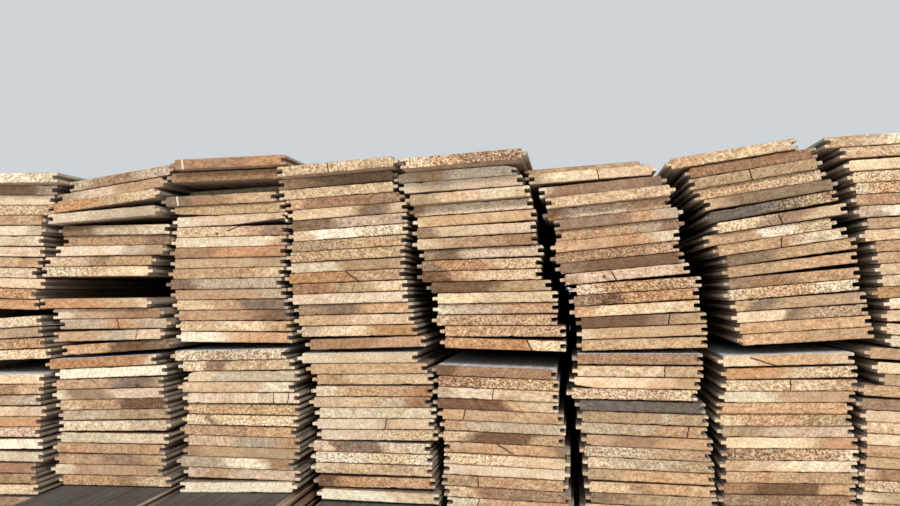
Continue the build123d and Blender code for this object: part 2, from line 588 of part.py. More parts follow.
with BuildPart() as column_5_upper_boards:
    for row in column_5_upper:
        width, length = board_size(row)
        with BuildSketch(end_plane(row)):
            with BuildLine():
                Polyline(*profile(width, row[3]), close=True)
            make_face()
        extrude(amount=length)
column_5_upper_boards.part.label = "column_5_upper_boards"
export_step(column_5_upper_boards.part, "parts/column_5_upper_boards.step")

with BuildPart() as column_5_lower_boards:
    for row in column_5_lower:
        width, length = board_size(row)
        with BuildSketch(end_plane(row)):
            with BuildLine():
                Polyline(*profile(width, row[3]), close=True)
            make_face()
        extrude(amount=length)
column_5_lower_boards.part.label = "column_5_lower_boards"
export_step(column_5_lower_boards.part, "parts/column_5_lower_boards.step")

with BuildPart() as column_5_bottom_boards:
    for row in column_5_bottom:
        width, length = board_size(row)
        with BuildSketch(end_plane(row)):
            with BuildLine():
                Polyline(*profile(width, row[3]), close=True)
            make_face()
        extrude(amount=length)
column_5_bottom_boards.part.label = "column_5_bottom_boards"
export_step(column_5_bottom_boards.part, "parts/column_5_bottom_boards.step")

with BuildPart() as column_6_upper_boards:
    for row in column_6_upper:
        width, length = board_size(row)
        with BuildSketch(end_plane(row)):
            with BuildLine():
                Polyline(*profile(width, row[3]), close=True)
            make_face()
        extrude(amount=length)
column_6_upper_boards.part.label = "column_6_upper_boards"
export_step(column_6_upper_boards.part, "parts/column_6_upper_boards.step")

with BuildPart() as column_6_lower_boards:
    for row in column_6_lower:
        width, length = board_size(row)
        with BuildSketch(end_plane(row)):
            with BuildLine():
                Polyline(*profile(width, row[3]), close=True)
            make_face()
        extrude(amount=length)
column_6_lower_boards.part.label = "column_6_lower_boards"
export_step(column_6_lower_boards.part, "parts/column_6_lower_boards.step")

with BuildPart() as column_6_bottom_boards:
    for row in column_6_bottom:
        width, length = board_size(row)
        with BuildSketch(end_plane(row)):
            with BuildLine():
                Polyline(*profile(width, row[3]), close=True)
            make_face()
        extrude(amount=length)
column_6_bottom_boards.part.label = "column_6_bottom_boards"
export_step(column_6_bottom_boards.part, "parts/column_6_bottom_boards.step")

with BuildPart() as column_7_upper_boards:
    for row in column_7_upper:
        width, length = board_size(row)
        with BuildSketch(end_plane(row)):
            with BuildLine():
                Polyline(*profile(width, row[3]), close=True)
            make_face()
        extrude(amount=length)
column_7_upper_boards.part.label = "column_7_upper_boards"
export_step(column_7_upper_boards.part, "parts/column_7_upper_boards.step")

with BuildPart() as column_7_lower_boards:
    for row in column_7_lower:
        width, length = board_size(row)
        with BuildSketch(end_plane(row)):
            with BuildLine():
                Polyline(*profile(width, row[3]), close=True)
            make_face()
        extrude(amount=length)
column_7_lower_boards.part.label = "column_7_lower_boards"
export_step(column_7_lower_boards.part, "parts/column_7_lower_boards.step")

with BuildPart() as column_7_bottom_boards:
    for row in column_7_bottom:
        width, length = board_size(row)
        with BuildSketch(end_plane(row)):
            with BuildLine():
                Polyline(*profile(width, row[3]), close=True)
            make_face()
        extrude(amount=length)
column_7_bottom_boards.part.label = "column_7_bottom_boards"
export_step(column_7_bottom_boards.part, "parts/column_7_bottom_boards.step")

with BuildPart() as column_8_upper_boards:
    for row in column_8_upper:
        width, length = board_size(row)
        with BuildSketch(end_plane(row)):
            with BuildLine():
                Polyline(*profile(width, row[3]), close=True)
            make_face()
        extrude(amount=length)
column_8_upper_boards.part.label = "column_8_upper_boards"
export_step(column_8_upper_boards.part, "parts/column_8_upper_boards.step")

with BuildPart() as column_8_lower_boards:
    for row in column_8_lower:
        width, length = board_size(row)
        with BuildSketch(end_plane(row)):
            with BuildLine():
                Polyline(*profile(width, row[3]), close=True)
            make_face()
        extrude(amount=length)
column_8_lower_boards.part.label = "column_8_lower_boards"
export_step(column_8_lower_boards.part, "parts/column_8_lower_boards.step")

with BuildPart() as column_8_bottom_boards:
    for row in column_8_bottom:
        width, length = board_size(row)
        with BuildSketch(end_plane(row)):
            with BuildLine():
                Polyline(*profile(width, row[3]), close=True)
            make_face()
        extrude(amount=length)
column_8_bottom_boards.part.label = "column_8_bottom_boards"
export_step(column_8_bottom_boards.part, "parts/column_8_bottom_boards.step")

with BuildPart() as packing_laths:
    for x, z, tilt, height in lath_rows:
        for station in lath_stations:
            front_edge = Plane(
                origin=(x, face_y + station - lath_width / 2, z),
                x_dir=Vector(1, 0, 0).rotate(Axis.Y, -tilt),
                z_dir=(0, 1, 0),
            )
            with BuildSketch(front_edge):
                Rectangle(lath_length, height)
            extrude(amount=lath_width)
    for x, z, tilt, height in strip_rows:
        front_edge = Plane(
            origin=(x, face_y + strip_start, z),
            x_dir=Vector(1, 0, 0).rotate(Axis.Y, -tilt),
            z_dir=(0, 1, 0),
        )
        with BuildSketch(front_edge):
            Rectangle(strip_width, height)
        extrude(amount=strip_end - strip_start)
packing_laths.part.label = "packing_laths"
export_step(packing_laths.part, "parts/packing_laths.step")
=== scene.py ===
import math
import bpy
import numpy as np
from mathutils import Matrix, Vector


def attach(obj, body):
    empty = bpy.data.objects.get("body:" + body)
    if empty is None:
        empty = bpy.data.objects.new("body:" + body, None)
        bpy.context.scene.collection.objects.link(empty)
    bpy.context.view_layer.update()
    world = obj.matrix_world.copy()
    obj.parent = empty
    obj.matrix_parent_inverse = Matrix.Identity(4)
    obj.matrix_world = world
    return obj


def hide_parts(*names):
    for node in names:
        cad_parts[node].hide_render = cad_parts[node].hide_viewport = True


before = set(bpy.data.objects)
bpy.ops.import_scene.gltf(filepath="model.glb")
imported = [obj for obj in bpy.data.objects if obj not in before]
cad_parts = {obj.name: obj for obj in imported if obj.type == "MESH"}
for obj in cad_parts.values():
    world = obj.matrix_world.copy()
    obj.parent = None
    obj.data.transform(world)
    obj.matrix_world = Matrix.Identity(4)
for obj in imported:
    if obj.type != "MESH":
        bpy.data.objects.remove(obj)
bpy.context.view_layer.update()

MM = 0.001
LENGTH = 3000.0
HALF = 6.1           # half a board's thickness
TONGUE = 6.0
GROOVE = 6.6
FACE_Y = -1463.2     # the stack's face; a board's front end stands `front` ahead of it

# One row for each board, top to bottom, as the part has them, in millimetres and degrees:
# x, z, tilt, side of the tongue, front, back, drift, width, then the look of its sawn end:
# its wood tones from left to right, with how far across each one reaches, and its marks.
BOARDS = {
    "column_1_upper_boards": [
        (-530.3, 443.73, -0.70, "L", 24.5, -27.0, -3.0, 145, "white 0.80 paleolive", "speck"),
        (-546.2, 431.33, -0.70, "L", -1.1, 2.6, 0.2, 145, "greyrose 0.83 pale", ""),
        (-548.8, 418.76, -0.70, "L", -1.0, -6.3, 0.6, 145, "cream", "calm"),
        (-550.1, 406.17, -0.70, "L", 0.1, -1.3, -1.8, 145, "straw", "speck"),
        (-559.4, 393.69, -0.70, "R", 0.3, 4.6, -0.3, 145, "rosytan", ""),
        (-559.2, 380.35, -0.08, "R", -0.2, -6.2, 2.9, 145, "cream 0.85 palegrey", ""),
        (-562.9, 367.53, -0.29, "L", -1.4, -0.1, 2.4, 145, "pale", ""),
        (-560.7, 354.40, -0.75, "L", -1.1, 3.2, 3.1, 145, "palepink", ""),
        (-562.7, 341.33, -1.20, "L", 0.4, 4.0, -2.8, 145, "tan 0.79 brown 0.87 tan", ""),
        (-570.8, 328.73, -1.38, "L", -0.2, -4.9, 2.4, 145, "palepink", "some"),
        (-559.2, 315.63, -1.52, "L", -0.6, -0.7, 3.5, 145, "creamyellow", ""),
        (-570.3, 302.82, -1.52, "L", 1.1, 6.7, -0.3, 145, "orange", "speck"),
        (-566.7, 289.27, -1.20, "L", 0.0, 3.2, -0.1, 145, "orange", ""),
        (-561.6, 264.02, 3.94, "L", 2.4, -4.0, -2.5, 145, "cream", "speck"),
        (-561.9, 250.69, 3.31, "L", -0.4, 6.8, 3.2, 145, "olivetan", ""),
        (-557.8, 237.67, 2.76, "L", 0.4, -0.0, -1.1, 145, "rosytan 0.75 orangebrown", "figure; speck"),
        (-550.9, 224.76, 2.45, "L", -1.2, -3.2, 2.0, 145, "creamyellow", "speck"),
    ],
    "column_1_lower_boards": [
        (-557.6, 195.70, 0.85, "L", 1.1, -1.9, 2.0, 145, "creamyellow", "slate"),
        (-558.0, 182.25, 1.58, "L", 0.8, 2.7, 1.1, 145, "rosybrown 0.75 tan", "some"),
        (-561.7, 168.54, 1.87, "L", 0.8, -1.9, 1.4, 145, "olivetan 0.7 palegrey", ""),
        (-554.9, 155.34, 1.20, "L", -0.7, -0.2, 1.9, 145, "cream 0.69 palepink", ""),
        (-561.2, 142.61, 1.20, "L", 0.6, -2.9, 3.1, 145, "orange", "calm"),
        (-562.3, 129.98, 1.20, "L", 0.4, 1.1, -3.4, 145, "palepink", "speck"),
        (-558.7, 115.29, 1.31, "L", 0.1, -3.5, 1.2, 145, "white", "calm"),
        (-557.8, 100.54, 0.26, "L", -0.1, 4.4, 1.0, 145, "pale", "calm"),
        (-566.1, 86.14, 0.87, "L", 0.9, -2.1, 1.0, 145, "rosybrown", ""),
        (-565.8, 72.85, 1.41, "L", 0.7, 4.6, -1.0, 145, "brown", ""),
        (-562.9, 59.37, 1.69, "L", 1.0, 5.2, 1.3, 145, "creamyellow", ""),
    ],
    "column_1_bottom_boards": [
        (-561.0, 46.05, 1.27, "L", 6.4, 8.2, 0.1, 145, "greyrose", "slate 0.5"),
        (-559.3, 32.73, 0.84, "L", 6.1, -6.0, 2.4, 145, "", ""),
        (-559.5, 19.41, 0.42, "L", 5.3, -0.4, 1.3, 145, "", ""),
        (-558.3, 6.10, 0.00, "L", 2.7, 4.1, -2.3, 145, "", ""),
    ],
    "column_2_upper_boards": [
        (-388.1, 443.62, 8.39, "R", 0.8, 1.1, 0.1, 138, "palegrey 0.2 greyrose 0.6 palegrey", "some"),
        (-400.6, 428.85, 8.23, "R", -0.2, 1.7, 0.0, 145, "palegrey 0.22 pale 0.52 rosytan", ""),
        (-404.4, 414.78, 7.50, "R", 12.4, -7.7, -0.2, 145, "orange 0.47 tan 0.69 straw", "figure"),
        (-404.2, 397.99, 4.13, "R", 13.0, -13.4, 1.1, 145, "pale 0.4 palegrey", "calm"),
        (-398.2, 379.95, 0.64, "L", -0.8, 2.6, 0.9, 145, "greybrown 0.35 palegrey 0.75 pale", ""),
        (-393.7, 367.40, 0.64, "R", -5.4, 3.2, -1.9, 145, "rosytan 0.60 tan 0.74 greyrose", ""),
        (-398.9, 354.74, 0.64, "R", 2.7, -8.7, -1.3, 145, "cream 0.6 palegrey 0.8 olivetan", "calm"),
        (-414.8, 341.89, 0.69, "R", -1.0, -4.3, -3.3, 145, "straw 0.41 brown 0.59 tan", "figure"),
        (-417.1, 329.06, 0.46, "R", 2.9, -4.4, 0.8, 145, "cream 0.35 straw 0.62 creamyellow", "speckl"),
        (-416.3, 290.24, 0.65, "R", 6.3, -9.1, 2.8, 145, "orange 0.54 tan 0.85 straw", ""),
        (-403.7, 277.44, 0.93, "R", -1.5, -1.3, -1.6, 145, "cream 0.20 rosytan 0.61 rosybrown", ""),
        (-393.8, 265.00, 0.93, "R", -0.3, -5.4, 2.3, 145, "palegrey 0.4 rosytan 0.7 palegrey", "crack 76 0.25 1.1"),
        (-399.3, 250.97, 2.10, "R", 4.6, -11.0, 0.8, 145, "rosytan 0.45 palegrey 0.7 palepink", "crack 108"),
        (-390.8, 236.68, 4.11, "R", -1.2, 0.6, -1.1, 145, "orangetan 0.42 mauvebrown 0.78 greybrown", ""),
    ],
    "column_2_lower_boards": [
        (-412.3, 218.24, 3.25, "L", 0.2, 6.4, 2.2, 145, "orangebrown 0.86 tan 0.92 cream", "slate"),
        (-398.9, 205.85, 2.88, "L", -0.2, 4.4, 1.0, 145, "white", "calm"),
        (-403.0, 192.30, 2.22, "L", -0.4, -5.0, 0.7, 145, "rosytan 0.53 greymauve 0.88 olivetan", "knot 111 -4.0"),
        (-401.9, 179.56, 2.06, "L", 0.2, 6.4, 3.3, 145, "cream 0.13 greyrose 0.50 palepink", ""),
        (-397.0, 167.13, 2.06, "L", 0.3, -2.1, 2.8, 145, "straw 0.25 rosytan 0.58 mauvebrown", "knots; some"),
        (-394.3, 154.62, 2.06, "L", -1.5, -5.5, 0.5, 145, "palegrey 0.42 olivetan", ""),
        (-391.3, 141.46, 1.56, "R", 2.3, -6.8, 0.9, 145, "cream 0.64 palepink", "spots 24 45 65; some"),
        (-394.6, 126.24, 0.38, "L", 1.2, -1.7, -0.5, 145, "paleolive 0.57 cream", ""),
        (-400.6, 113.20, 0.03, "L", -0.8, -2.9, 3.3, 145, "orangetan", ""),
        (-398.0, 100.08, 0.46, "L", -0.4, 6.5, 2.9, 145, "rosytan 0.46 greyrose 0.77 tan", ""),
        (-402.1, 87.45, 0.46, "L", 0.3, -3.4, 3.4, 145, "cream 0.2 tan 0.8 rosytan", "figure"),
        (-391.5, 74.93, 0.46, "L", 0.0, -1.2, -1.3, 145, "orangetan 0.53 brown 0.68 straw", "figure"),
    ],
    "column_2_bottom_boards": [
        (-392.6, 61.16, 0.37, "L", 118.5, -117.2, -1.5, 145, "", "slate 0.5"),
        (-400.3, 47.40, 0.28, "L", 113.9, -120.9, 0.9, 145, "", ""),
        (-399.2, 33.63, 0.18, "L", 114.8, -119.2, 2.0, 145, "", ""),
        (-392.7, 19.87, 0.09, "R", 116.0, -124.0, 0.2, 145, "", ""),
        (-393.4, 6.10, 0.00, "L", 118.3, -111.1, 2.0, 145, "", ""),
    ],
    "column_3_upper_boards": [
        (-246.9, 458.72, 1.55, "L", 14.2, -16.8, -0.2, 145, "rosybrown 0.7 orangebrown", "scratch 16"),
        (-256.1, 444.36, 1.43, "L", 1.5, -2.9, 0.3, 145, "rosybrown", ""),
        # this recessed board has a pale tone: painted light, where it lies in the shade of the board above
        (-264.3, 429.14, 3.03, "L", -60.1, 56.0, 0.7, 136, "paleolive", ""),
        (-262.4, 415.60, 2.07, "L", 3.7, -8.0, 1.8, 145, "greybrown 0.25 rosybrown 0.58 tan", "scratch 21"),
        (-252.2, 403.35, 2.07, "L", -0.6, 0.5, -1.1, 145, "tan", "cutlow 0 4.2 52 0.5 90"),
        (-249.1, 390.86, 2.07, "L", -0.6, 0.4, -0.2, 145, "cream 0.20 palepink 0.59 straw", "cutlow 76 0 141 5.6 140"),
        (-249.5, 377.09, 1.00, "L", -0.4, 3.4, 0.2, 145, "straw 0.62 rosytan 0.78 greyrose", "knot 57 -2.9; split 70 0.4 86 6.0"),
        (-250.1, 364.42, 0.95, "L", 0.6, -5.3, -0.1, 145, "cream 0.89 rosytan", ""),
        (-251.2, 351.80, 0.95, "L", 1.2, 5.4, 0.1, 145, "rosybrown 0.4 orange 0.8 orangebrown", ""),
        (-251.7, 339.19, 0.95, "L", -1.5, 3.9, -0.2, 145, "tan 0.74 olivetan", "calm"),
        (-252.6, 326.58, 0.95, "L", 2.2, 1.1, 0.9, 145, "tan 0.76 straw", ""),
        (-255.4, 313.93, 0.95, "L", 1.9, 4.0, -0.8, 145, "greymauve 0.27 palegrey", "hatch"),
        (-250.3, 301.41, 0.95, "L", -0.3, 4.9, -2.1, 145, "rosytan 0.8 palegrey", ""),
        (-247.8, 288.58, 0.71, "L", -0.6, 4.6, -3.0, 145, "straw 0.35 rosytan 0.59 greymauve", ""),
        (-244.7, 276.02, 0.71, "L", 1.0, 2.7, -0.5, 145, "rosytan 0.58 rosybrown 0.75 mauvebrown", ""),
        (-243.4, 263.01, 0.34, "L", -0.6, 3.9, 2.9, 145, "straw 0.42 creamyellow 0.78 tan", ""),
        (-241.4, 249.75, -0.21, "L", 1.9, -3.0, 0.3, 145, "white 0.42 orangetan", "rings 124"),
    ],
    "column_3_lower_boards": [
        (-248.6, 228.51, 1.64, "L", 3.0, -5.1, -2.4, 145, "cream 0.3 palegrey 0.78 cream", "speck2; slate"),
        (-239.1, 216.17, 1.64, "L", 0.3, 4.4, -3.0, 145, "cream 0.25 greyrose 0.43 straw", "some"),
        (-232.7, 203.08, 1.15, "L", -0.8, 4.5, 2.0, 145, "creamyellow 0.25 palegrey", "cuttop 0 5 14 0 40"),
        (-239.6, 190.01, 0.89, "L", 0.5, -6.6, 1.6, 145, "straw 0.73 cream", ""),
        (-231.7, 177.50, 0.86, "L", 3.4, 5.2, 1.4, 145, "pale 0.28 palepink 0.50 cream", "crack 113; crack 131"),
        (-232.3, 163.75, 0.04, "L", -1.4, 4.8, -2.0, 145, "orangetan", "figure; speck"),
        (-232.7, 150.98, -0.09, "L", 2.4, 4.5, 1.5, 145, "creamyellow 0.20 brown 0.29 creamyellow", "speck"),
        (-237.0, 137.82, -0.53, "L", -1.1, -2.9, 2.9, 145, "tan 0.2 rosytan 0.6 orangetan", "some"),
        (-232.1, 125.17, -0.53, "L", -1.1, 1.5, -0.6, 145, "straw 0.45 palegrey 0.8 rosytan", "hatch"),
        (-232.5, 112.57, -0.53, "L", -1.0, 1.7, -3.2, 145, "brown 0.15 tan 0.49 olivetan", "calm"),
        (-239.8, 100.04, -0.53, "L", 0.8, -3.5, -3.0, 145, "palegrey 0.42 white 0.77 brown", ""),
        (-231.6, 87.36, -0.53, "L", -1.3, 1.1, 1.7, 145, "palepink 0.2 tan 0.42 palepink", ""),
        (-233.6, 72.33, 1.64, "R", 4.1, -7.8, -0.5, 145, "white", "calm"),
    ],
    "column_3_bottom_boards": [
        (-235.0, 59.08, 1.31, "R", 122.4, -121.3, -0.1, 145, "", "slate 0.5"),
        (-229.7, 45.84, 0.98, "L", 125.3, -125.9, -3.1, 145, "", ""),
        (-237.3, 32.59, 0.66, "L", 129.6, -135.3, 0.9, 145, "", ""),
        (-236.6, 19.35, 0.33, "L", 126.0, -118.9, 0.4, 145, "", ""),
        (-232.7, 6.10, 0.00, "L", 123.4, -127.7, 0.4, 145, "", ""),
    ],
    "column_4_upper_boards": [
        (-110.4, 450.28, 4.27, "R", 21.3, -16.3, 0.0, 145, "straw", "speck; crack 61"),
        (-115.9, 437.23, 4.27, "R", -1.1, -3.7, -0.9, 145, "tan 0.30 greybrown", ""),
        (-114.6, 424.03, 3.70, "R", 0.7, -4.5, 0.6, 145, "straw", "some"),
        (-106.6, 411.92, 3.70, "R", 0.5, -5.8, 1.2, 145, "tan 0.15 rosybrown 0.75 greyrose", "some"),
        (-103.6, 399.48, 3.70, "L", 0.8, -7.1, 0.0, 145, "straw 0.57 greybrown 0.86 straw", ""),
        (-104.0, 386.82, 3.70, "L", -0.8, 5.3, -0.0, 145, "greybrown 0.40 palegrey", ""),
        (-102.9, 374.11, 3.53, "L", -0.5, 4.2, -1.3, 145, "straw 0.2 white 0.62 cream", "speckr"),
        (-104.4, 361.11, 3.22, "L", 0.7, -6.2, -1.0, 145, "olivetan 0.49 tan", "speck"),
        (-105.5, 348.28, 3.05, "L", 1.4, 2.5, -0.8, 145, "tan", "speck"),
        (-105.7, 335.21, 2.61, "L", -1.2, 6.6, 1.2, 145, "paleolive 0.42 olivetan", ""),
        (-106.9, 322.33, 2.36, "L", 1.0, -5.0, 0.9, 145, "orangebrown 0.6 rosytan", "split 75 5.1 90 -6.1; some"),
        (-103.2, 309.54, 2.01, "L", -0.4, -3.7, -1.2, 145, "rosybrown 0.4 olivetan 0.72 creamyellow", ""),
        (-102.2, 296.70, 1.72, "L", 2.3, -3.9, -0.8, 145, "pale", ""),
        (-95.8, 284.26, 1.69, "L", -1.1, 4.6, 1.0, 145, "brown 0.25 greybrown 0.56 orangetan", ""),
        (-95.1, 271.26, 1.31, "L", 0.9, -0.9, 2.5, 145, "tan 0.47 straw", ""),
        (-91.5, 258.32, 1.36, "L", 0.1, 1.3, 0.5, 145, "palegrey 0.2 creamyellow 0.6 orangebrown", ""),
        (-81.1, 244.00, 2.13, "L", 0.7, -1.5, -2.8, 145, "rosybrown 0.58 rosytan", ""),
    ],
    "column_4_lower_boards": [
        (-90.9, 226.54, 1.06, "L", 0.6, -6.0, -3.2, 145, "pale 0.28 straw", "slate"),
        (-79.8, 214.15, 1.06, "L", 1.2, -0.3, 1.8, 145, "tan", ""),
        (-72.8, 201.59, 1.00, "L", -1.5, -0.4, 0.2, 145, "tan 0.19 rosybrown 0.29 straw", ""),
        (-73.5, 187.85, 0.70, "L", 0.4, -1.0, -0.2, 145, "cream 0.22 tan 0.8 orangebrown", "figure; some"),
        (-76.4, 174.84, 0.88, "L", -1.2, -4.8, -2.4, 145, "straw 0.6 palegrey 0.8 rosybrown", ""),
        (-69.2, 162.35, 0.88, "L", -0.4, -1.6, 1.1, 145, "paleolive", ""),
        (-71.4, 149.71, 0.88, "L", 1.0, -5.2, -1.6, 145, "cream 0.58 brown 0.64 straw", "crack 88"),
        (-66.8, 136.83, 0.70, "L", -1.0, -3.0, -1.9, 145, "pale 0.28 palepink 0.57 straw", "speckr"),
        (-76.0, 122.56, -0.41, "L", -0.1, -6.6, 3.0, 145, "pale 0.2 greymauve 0.6 cream", "some"),
        (-73.2, 109.94, -0.41, "L", 1.6, 4.3, 1.3, 145, "white 0.42 creamyellow 0.8 white", "speck2"),
        (-73.6, 96.88, -0.59, "L", 0.5, -0.4, 3.1, 145, "cream 0.2 straw", "some"),
        (-70.3, 81.74, 0.12, "L", -1.1, 2.4, -1.5, 145, "mauvebrown 0.2 orange 0.42 orangetan", "some"),
        (-65.0, 66.63, -1.01, "L", 3.5, 0.5, -2.4, 145, "white 0.6 creamyellow 0.8 straw", ""),
    ],
    "column_4_bottom_boards": [
        (-66.1, 51.50, -0.76, "L", 109.1, -118.1, -1.9, 145, "", "slate 0.5"),
        (-66.2, 36.37, -0.50, "R", 108.7, -112.2, 3.3, 145, "", ""),
        (-72.2, 21.23, -0.25, "L", 114.6, -118.9, -0.2, 145, "", ""),
        (-73.2, 6.10, 0.00, "L", 109.3, -106.2, 1.5, 145, "", ""),
    ],
    "column_5_upper_boards": [
        (39.1, 455.00, 3.70, "R", 34.0, -31.0, 0.0, 145, "creamyellow 0.22 orangetan 0.45 brown", "speck2"),
        # the next two boards have lighter tones: painted light, where they lie in the shade of the top board
        (25.7, 441.15, 3.37, "L", 3.0, -7.2, 1.2, 145, "palegrey 0.22 tan 0.42 white", "cuttop 0 4 12 0 30; cuttop 131 0 145 4 30"),
        (32.2, 428.91, 3.37, "L", 4.3, -0.7, -0.2, 145, "cream 0.22 palegrey 0.42 cream", ""),
        (41.3, 414.73, 3.89, "L", 15.4, -19.5, -0.2, 145, "olivetan 0.28 straw 0.60 cream", ""),
        (43.6, 401.99, 3.59, "L", 0.8, -1.3, -1.3, 145, "rosybrown 0.12 pale 0.58 cream", ""),
        (47.8, 389.25, 3.37, "L", 0.1, 6.9, 0.1, 145, "creamyellow 0.06 orangetan", ""),
        (47.2, 375.84, 2.70, "L", -0.4, -5.7, -3.0, 145, "greyrose 0.20 straw 0.55 palepink", ""),
        (48.1, 362.16, 2.48, "L", 4.2, -2.8, 3.1, 145, "straw 0.21 rosytan 0.71 rosybrown", ""),
        (55.5, 349.32, 2.28, "L", -1.3, -3.6, -3.1, 145, "olivetan 0.11 greybrown 0.33 pale", ""),
        (53.2, 335.89, 1.54, "L", 1.7, -8.0, 8.3, 145, "greybrown 0.2 orangebrown 0.6 straw", "figure; speck"),
        (53.2, 323.07, 1.31, "L", -0.3, -2.7, 8.2, 145, "mauvebrown 0.27 rosytan 0.43 straw", "figure; some"),
        (64.0, 310.32, 1.34, "L", -1.4, 6.6, 7.3, 145, "mauvebrown 0.58 olivetan", ""),
        (71.9, 297.64, 1.20, "L", 3.0, -4.1, 7.1, 145, "creamyellow 0.38 straw", ""),
        (71.6, 284.87, 1.06, "L", -1.2, -2.6, 8.2, 145, "paleolive 0.18 palegrey 0.54 rosytan", ""),
        (70.7, 271.64, 0.57, "L", 0.1, 5.9, 9.2, 145, "straw 0.11 rosytan 0.71 tan", "speck"),
        (80.6, 258.76, 0.30, "L", 1.1, -4.0, 10.8, 145, "orangetan 0.6 rosytan", "speck"),
        (80.8, 243.86, -1.34, "L", 3.1, -2.9, 6.4, 145, "orange 0.55 orangebrown 0.72 creamyellow", "crack 103 -0.47 1.0; some"),
    ],
    "column_5_lower_boards": [
        (70.3, 211.80, -1.67, "L", -0.4, 1.8, 1.6, 145, "mauvebrown 0.2 rosybrown", "slate"),
        (72.8, 199.12, -1.67, "L", 1.2, -2.7, -0.0, 145, "rosybrown 0.4 tan", "speck2"),
        (72.1, 186.54, -1.67, "L", 3.0, -5.7, -2.7, 145, "palegrey 0.18 cream 0.46 straw", "crack 70"),
        (71.9, 173.94, -1.67, "L", -0.6, -5.8, 1.9, 145, "mauvebrown 0.58 orangetan 0.75 straw", ""),
        (77.8, 161.16, -1.67, "L", 1.0, -2.6, -1.0, 145, "orangetan 0.22 tan", "crack 31"),
        (80.1, 148.49, -1.67, "L", -1.3, -3.6, -2.9, 145, "rosytan 0.18 palegrey", ""),
        (78.6, 135.93, -1.67, "L", -0.2, 1.1, -1.8, 145, "straw 0.23 mauvebrown 0.75 tan", ""),
        (84.9, 123.14, -1.67, "R", -1.3, 2.8, -3.2, 145, "tan 0.31 orangetan 0.87 greymauve", "split 61 6.1 79 -4.4"),
        (85.0, 110.52, -1.67, "R", 1.1, -4.8, -0.9, 145, "creamyellow 0.61 straw", "speckl"),
        (84.7, 97.93, -1.67, "R", -1.2, -1.1, -1.3, 145, "pale 0.4 cream", "calm"),
        (82.7, 85.38, -1.67, "R", 0.8, 0.8, 2.8, 145, "olivetan 0.27 rosytan", "crack 42; some"),
        (85.4, 72.69, -1.67, "R", 0.5, 3.6, 0.5, 145, "straw 0.24 rosybrown 0.42 greyrose", "some"),
        (88.7, 59.99, -1.67, "R", -0.2, 4.4, 1.1, 145, "paleolive 0.24 rosytan", "crack 36"),
    ],
    "column_5_bottom_boards": [
        (86.3, 46.52, -1.26, "R", 3.4, 4.1, 1.4, 145, "", "slate 0.5"),
        (87.0, 33.04, -0.84, "L", 2.3, 5.6, -0.8, 145, "", ""),
        (83.8, 19.57, -0.42, "L", 4.9, -7.8, -2.3, 145, "", ""),
        (83.4, 6.10, 0.00, "R", 5.3, 3.2, -1.5, 145, "", ""),
    ],
    "column_6_upper_boards": [
        (175.8, 450.52, 3.83, "R", -56.3, 53.2, 0.4, 145, "tan", ""),
        (183.9, 438.39, 3.85, "R", 2.6, -9.9, -2.6, 145, "olivetan 0.13 creamyellow 0.50 straw", "crack 79"),
        (195.4, 424.31, 5.18, "R", -0.4, 5.0, 3.1, 145, "cream 0.06 greyrose 0.87 greymauve", ""),
        (203.4, 411.70, 5.62, "R", 14.3, -16.4, -0.2, 145, "straw", "some"),
        (199.4, 398.64, 5.63, "L", -0.4, -2.4, -1.4, 145, "rosybrown 0.18 pale 0.70 tan", ""),
        (212.5, 387.25, 5.63, "R", 4.3, 1.0, 0.6, 145, "greyrose 0.58 tan 0.8 palegrey", ""),
        (214.4, 374.78, 5.63, "R", -1.2, 0.4, -0.9, 145, "tan 0.6 palegrey 0.8 greyrose", "some"),
        (208.3, 361.52, 5.63, "L", 3.6, -3.5, 1.2, 145, "orangetan 0.8 cream", "figure"),
        (207.8, 348.81, 5.63, "L", 0.9, -5.3, -0.5, 145, "rosybrown 0.78 rosytan", "speck"),
        (213.6, 336.52, 5.41, "L", 1.2, -0.5, -1.7, 145, "greybrown 0.24 mauvebrown", ""),
        (218.9, 324.30, 5.46, "L", 2.8, 1.0, -2.8, 145, "palepink 0.02 rosybrown 0.12 palepink", "split 59 3.7 65 -10.4; knot 50 -1.0"),
        (232.1, 310.89, 3.92, "L", 0.1, 6.6, -7.5, 145, "cream 0.23 orangebrown 0.72 rosytan", "speck2"),
        (229.2, 298.07, 3.92, "L", -1.2, 4.4, -4.5, 145, "greyrose 0.2 mauvebrown 0.42 orange", "figure; speck"),
        (229.8, 284.82, 3.39, "L", 1.7, 4.0, 2.9, 145, "orangetan 0.18 creamyellow 0.85 straw", ""),
        (237.1, 271.86, 2.83, "L", 0.2, -0.3, 6.1, 145, "mauvebrown 0.58 greyrose 0.76 olivetan", "crack 104"),
        (237.8, 258.92, 2.57, "L", -0.3, -4.0, 15.0, 145, "cream 0.10 tan", ""),
        (237.6, 245.52, 2.01, "L", -0.9, 0.9, 8.0, 145, "tan", ""),
    ],
    "column_6_lower_boards": [
        (232.5, 228.52, 0.33, "L", 0.8, -3.6, -15.0, 145, "brown", "slate"),
        (232.7, 214.52, 0.13, "L", 1.2, 5.0, 2.4, 145, "straw 0.67 tan", "crack 103"),
        (229.1, 201.67, -0.06, "L", 3.0, -0.1, -0.7, 145, "creamyellow 0.6 straw 0.8 tan", "cutlow 0 4.5 30 0 60"),
        (225.8, 188.77, -0.32, "L", 2.9, 1.0, -0.1, 145, "straw 0.6 tan 0.8 creamyellow", "speck2"),
        (235.2, 174.95, -0.76, "L", -1.4, -4.6, -2.8, 145, "slate", ""),
        (237.9, 161.89, -1.06, "L", 0.7, 5.6, -2.1, 145, "olivetan 0.63 palegrey 0.75 olivetan", ""),
        (236.3, 148.80, -1.44, "L", 0.9, -2.5, 1.3, 145, "palegrey 0.6 rosytan", "crack 124; figure"),
        (242.2, 135.40, -1.28, "L", 1.1, 1.7, 2.1, 145, "rosytan 0.24 rosybrown 0.6 rosytan", ""),
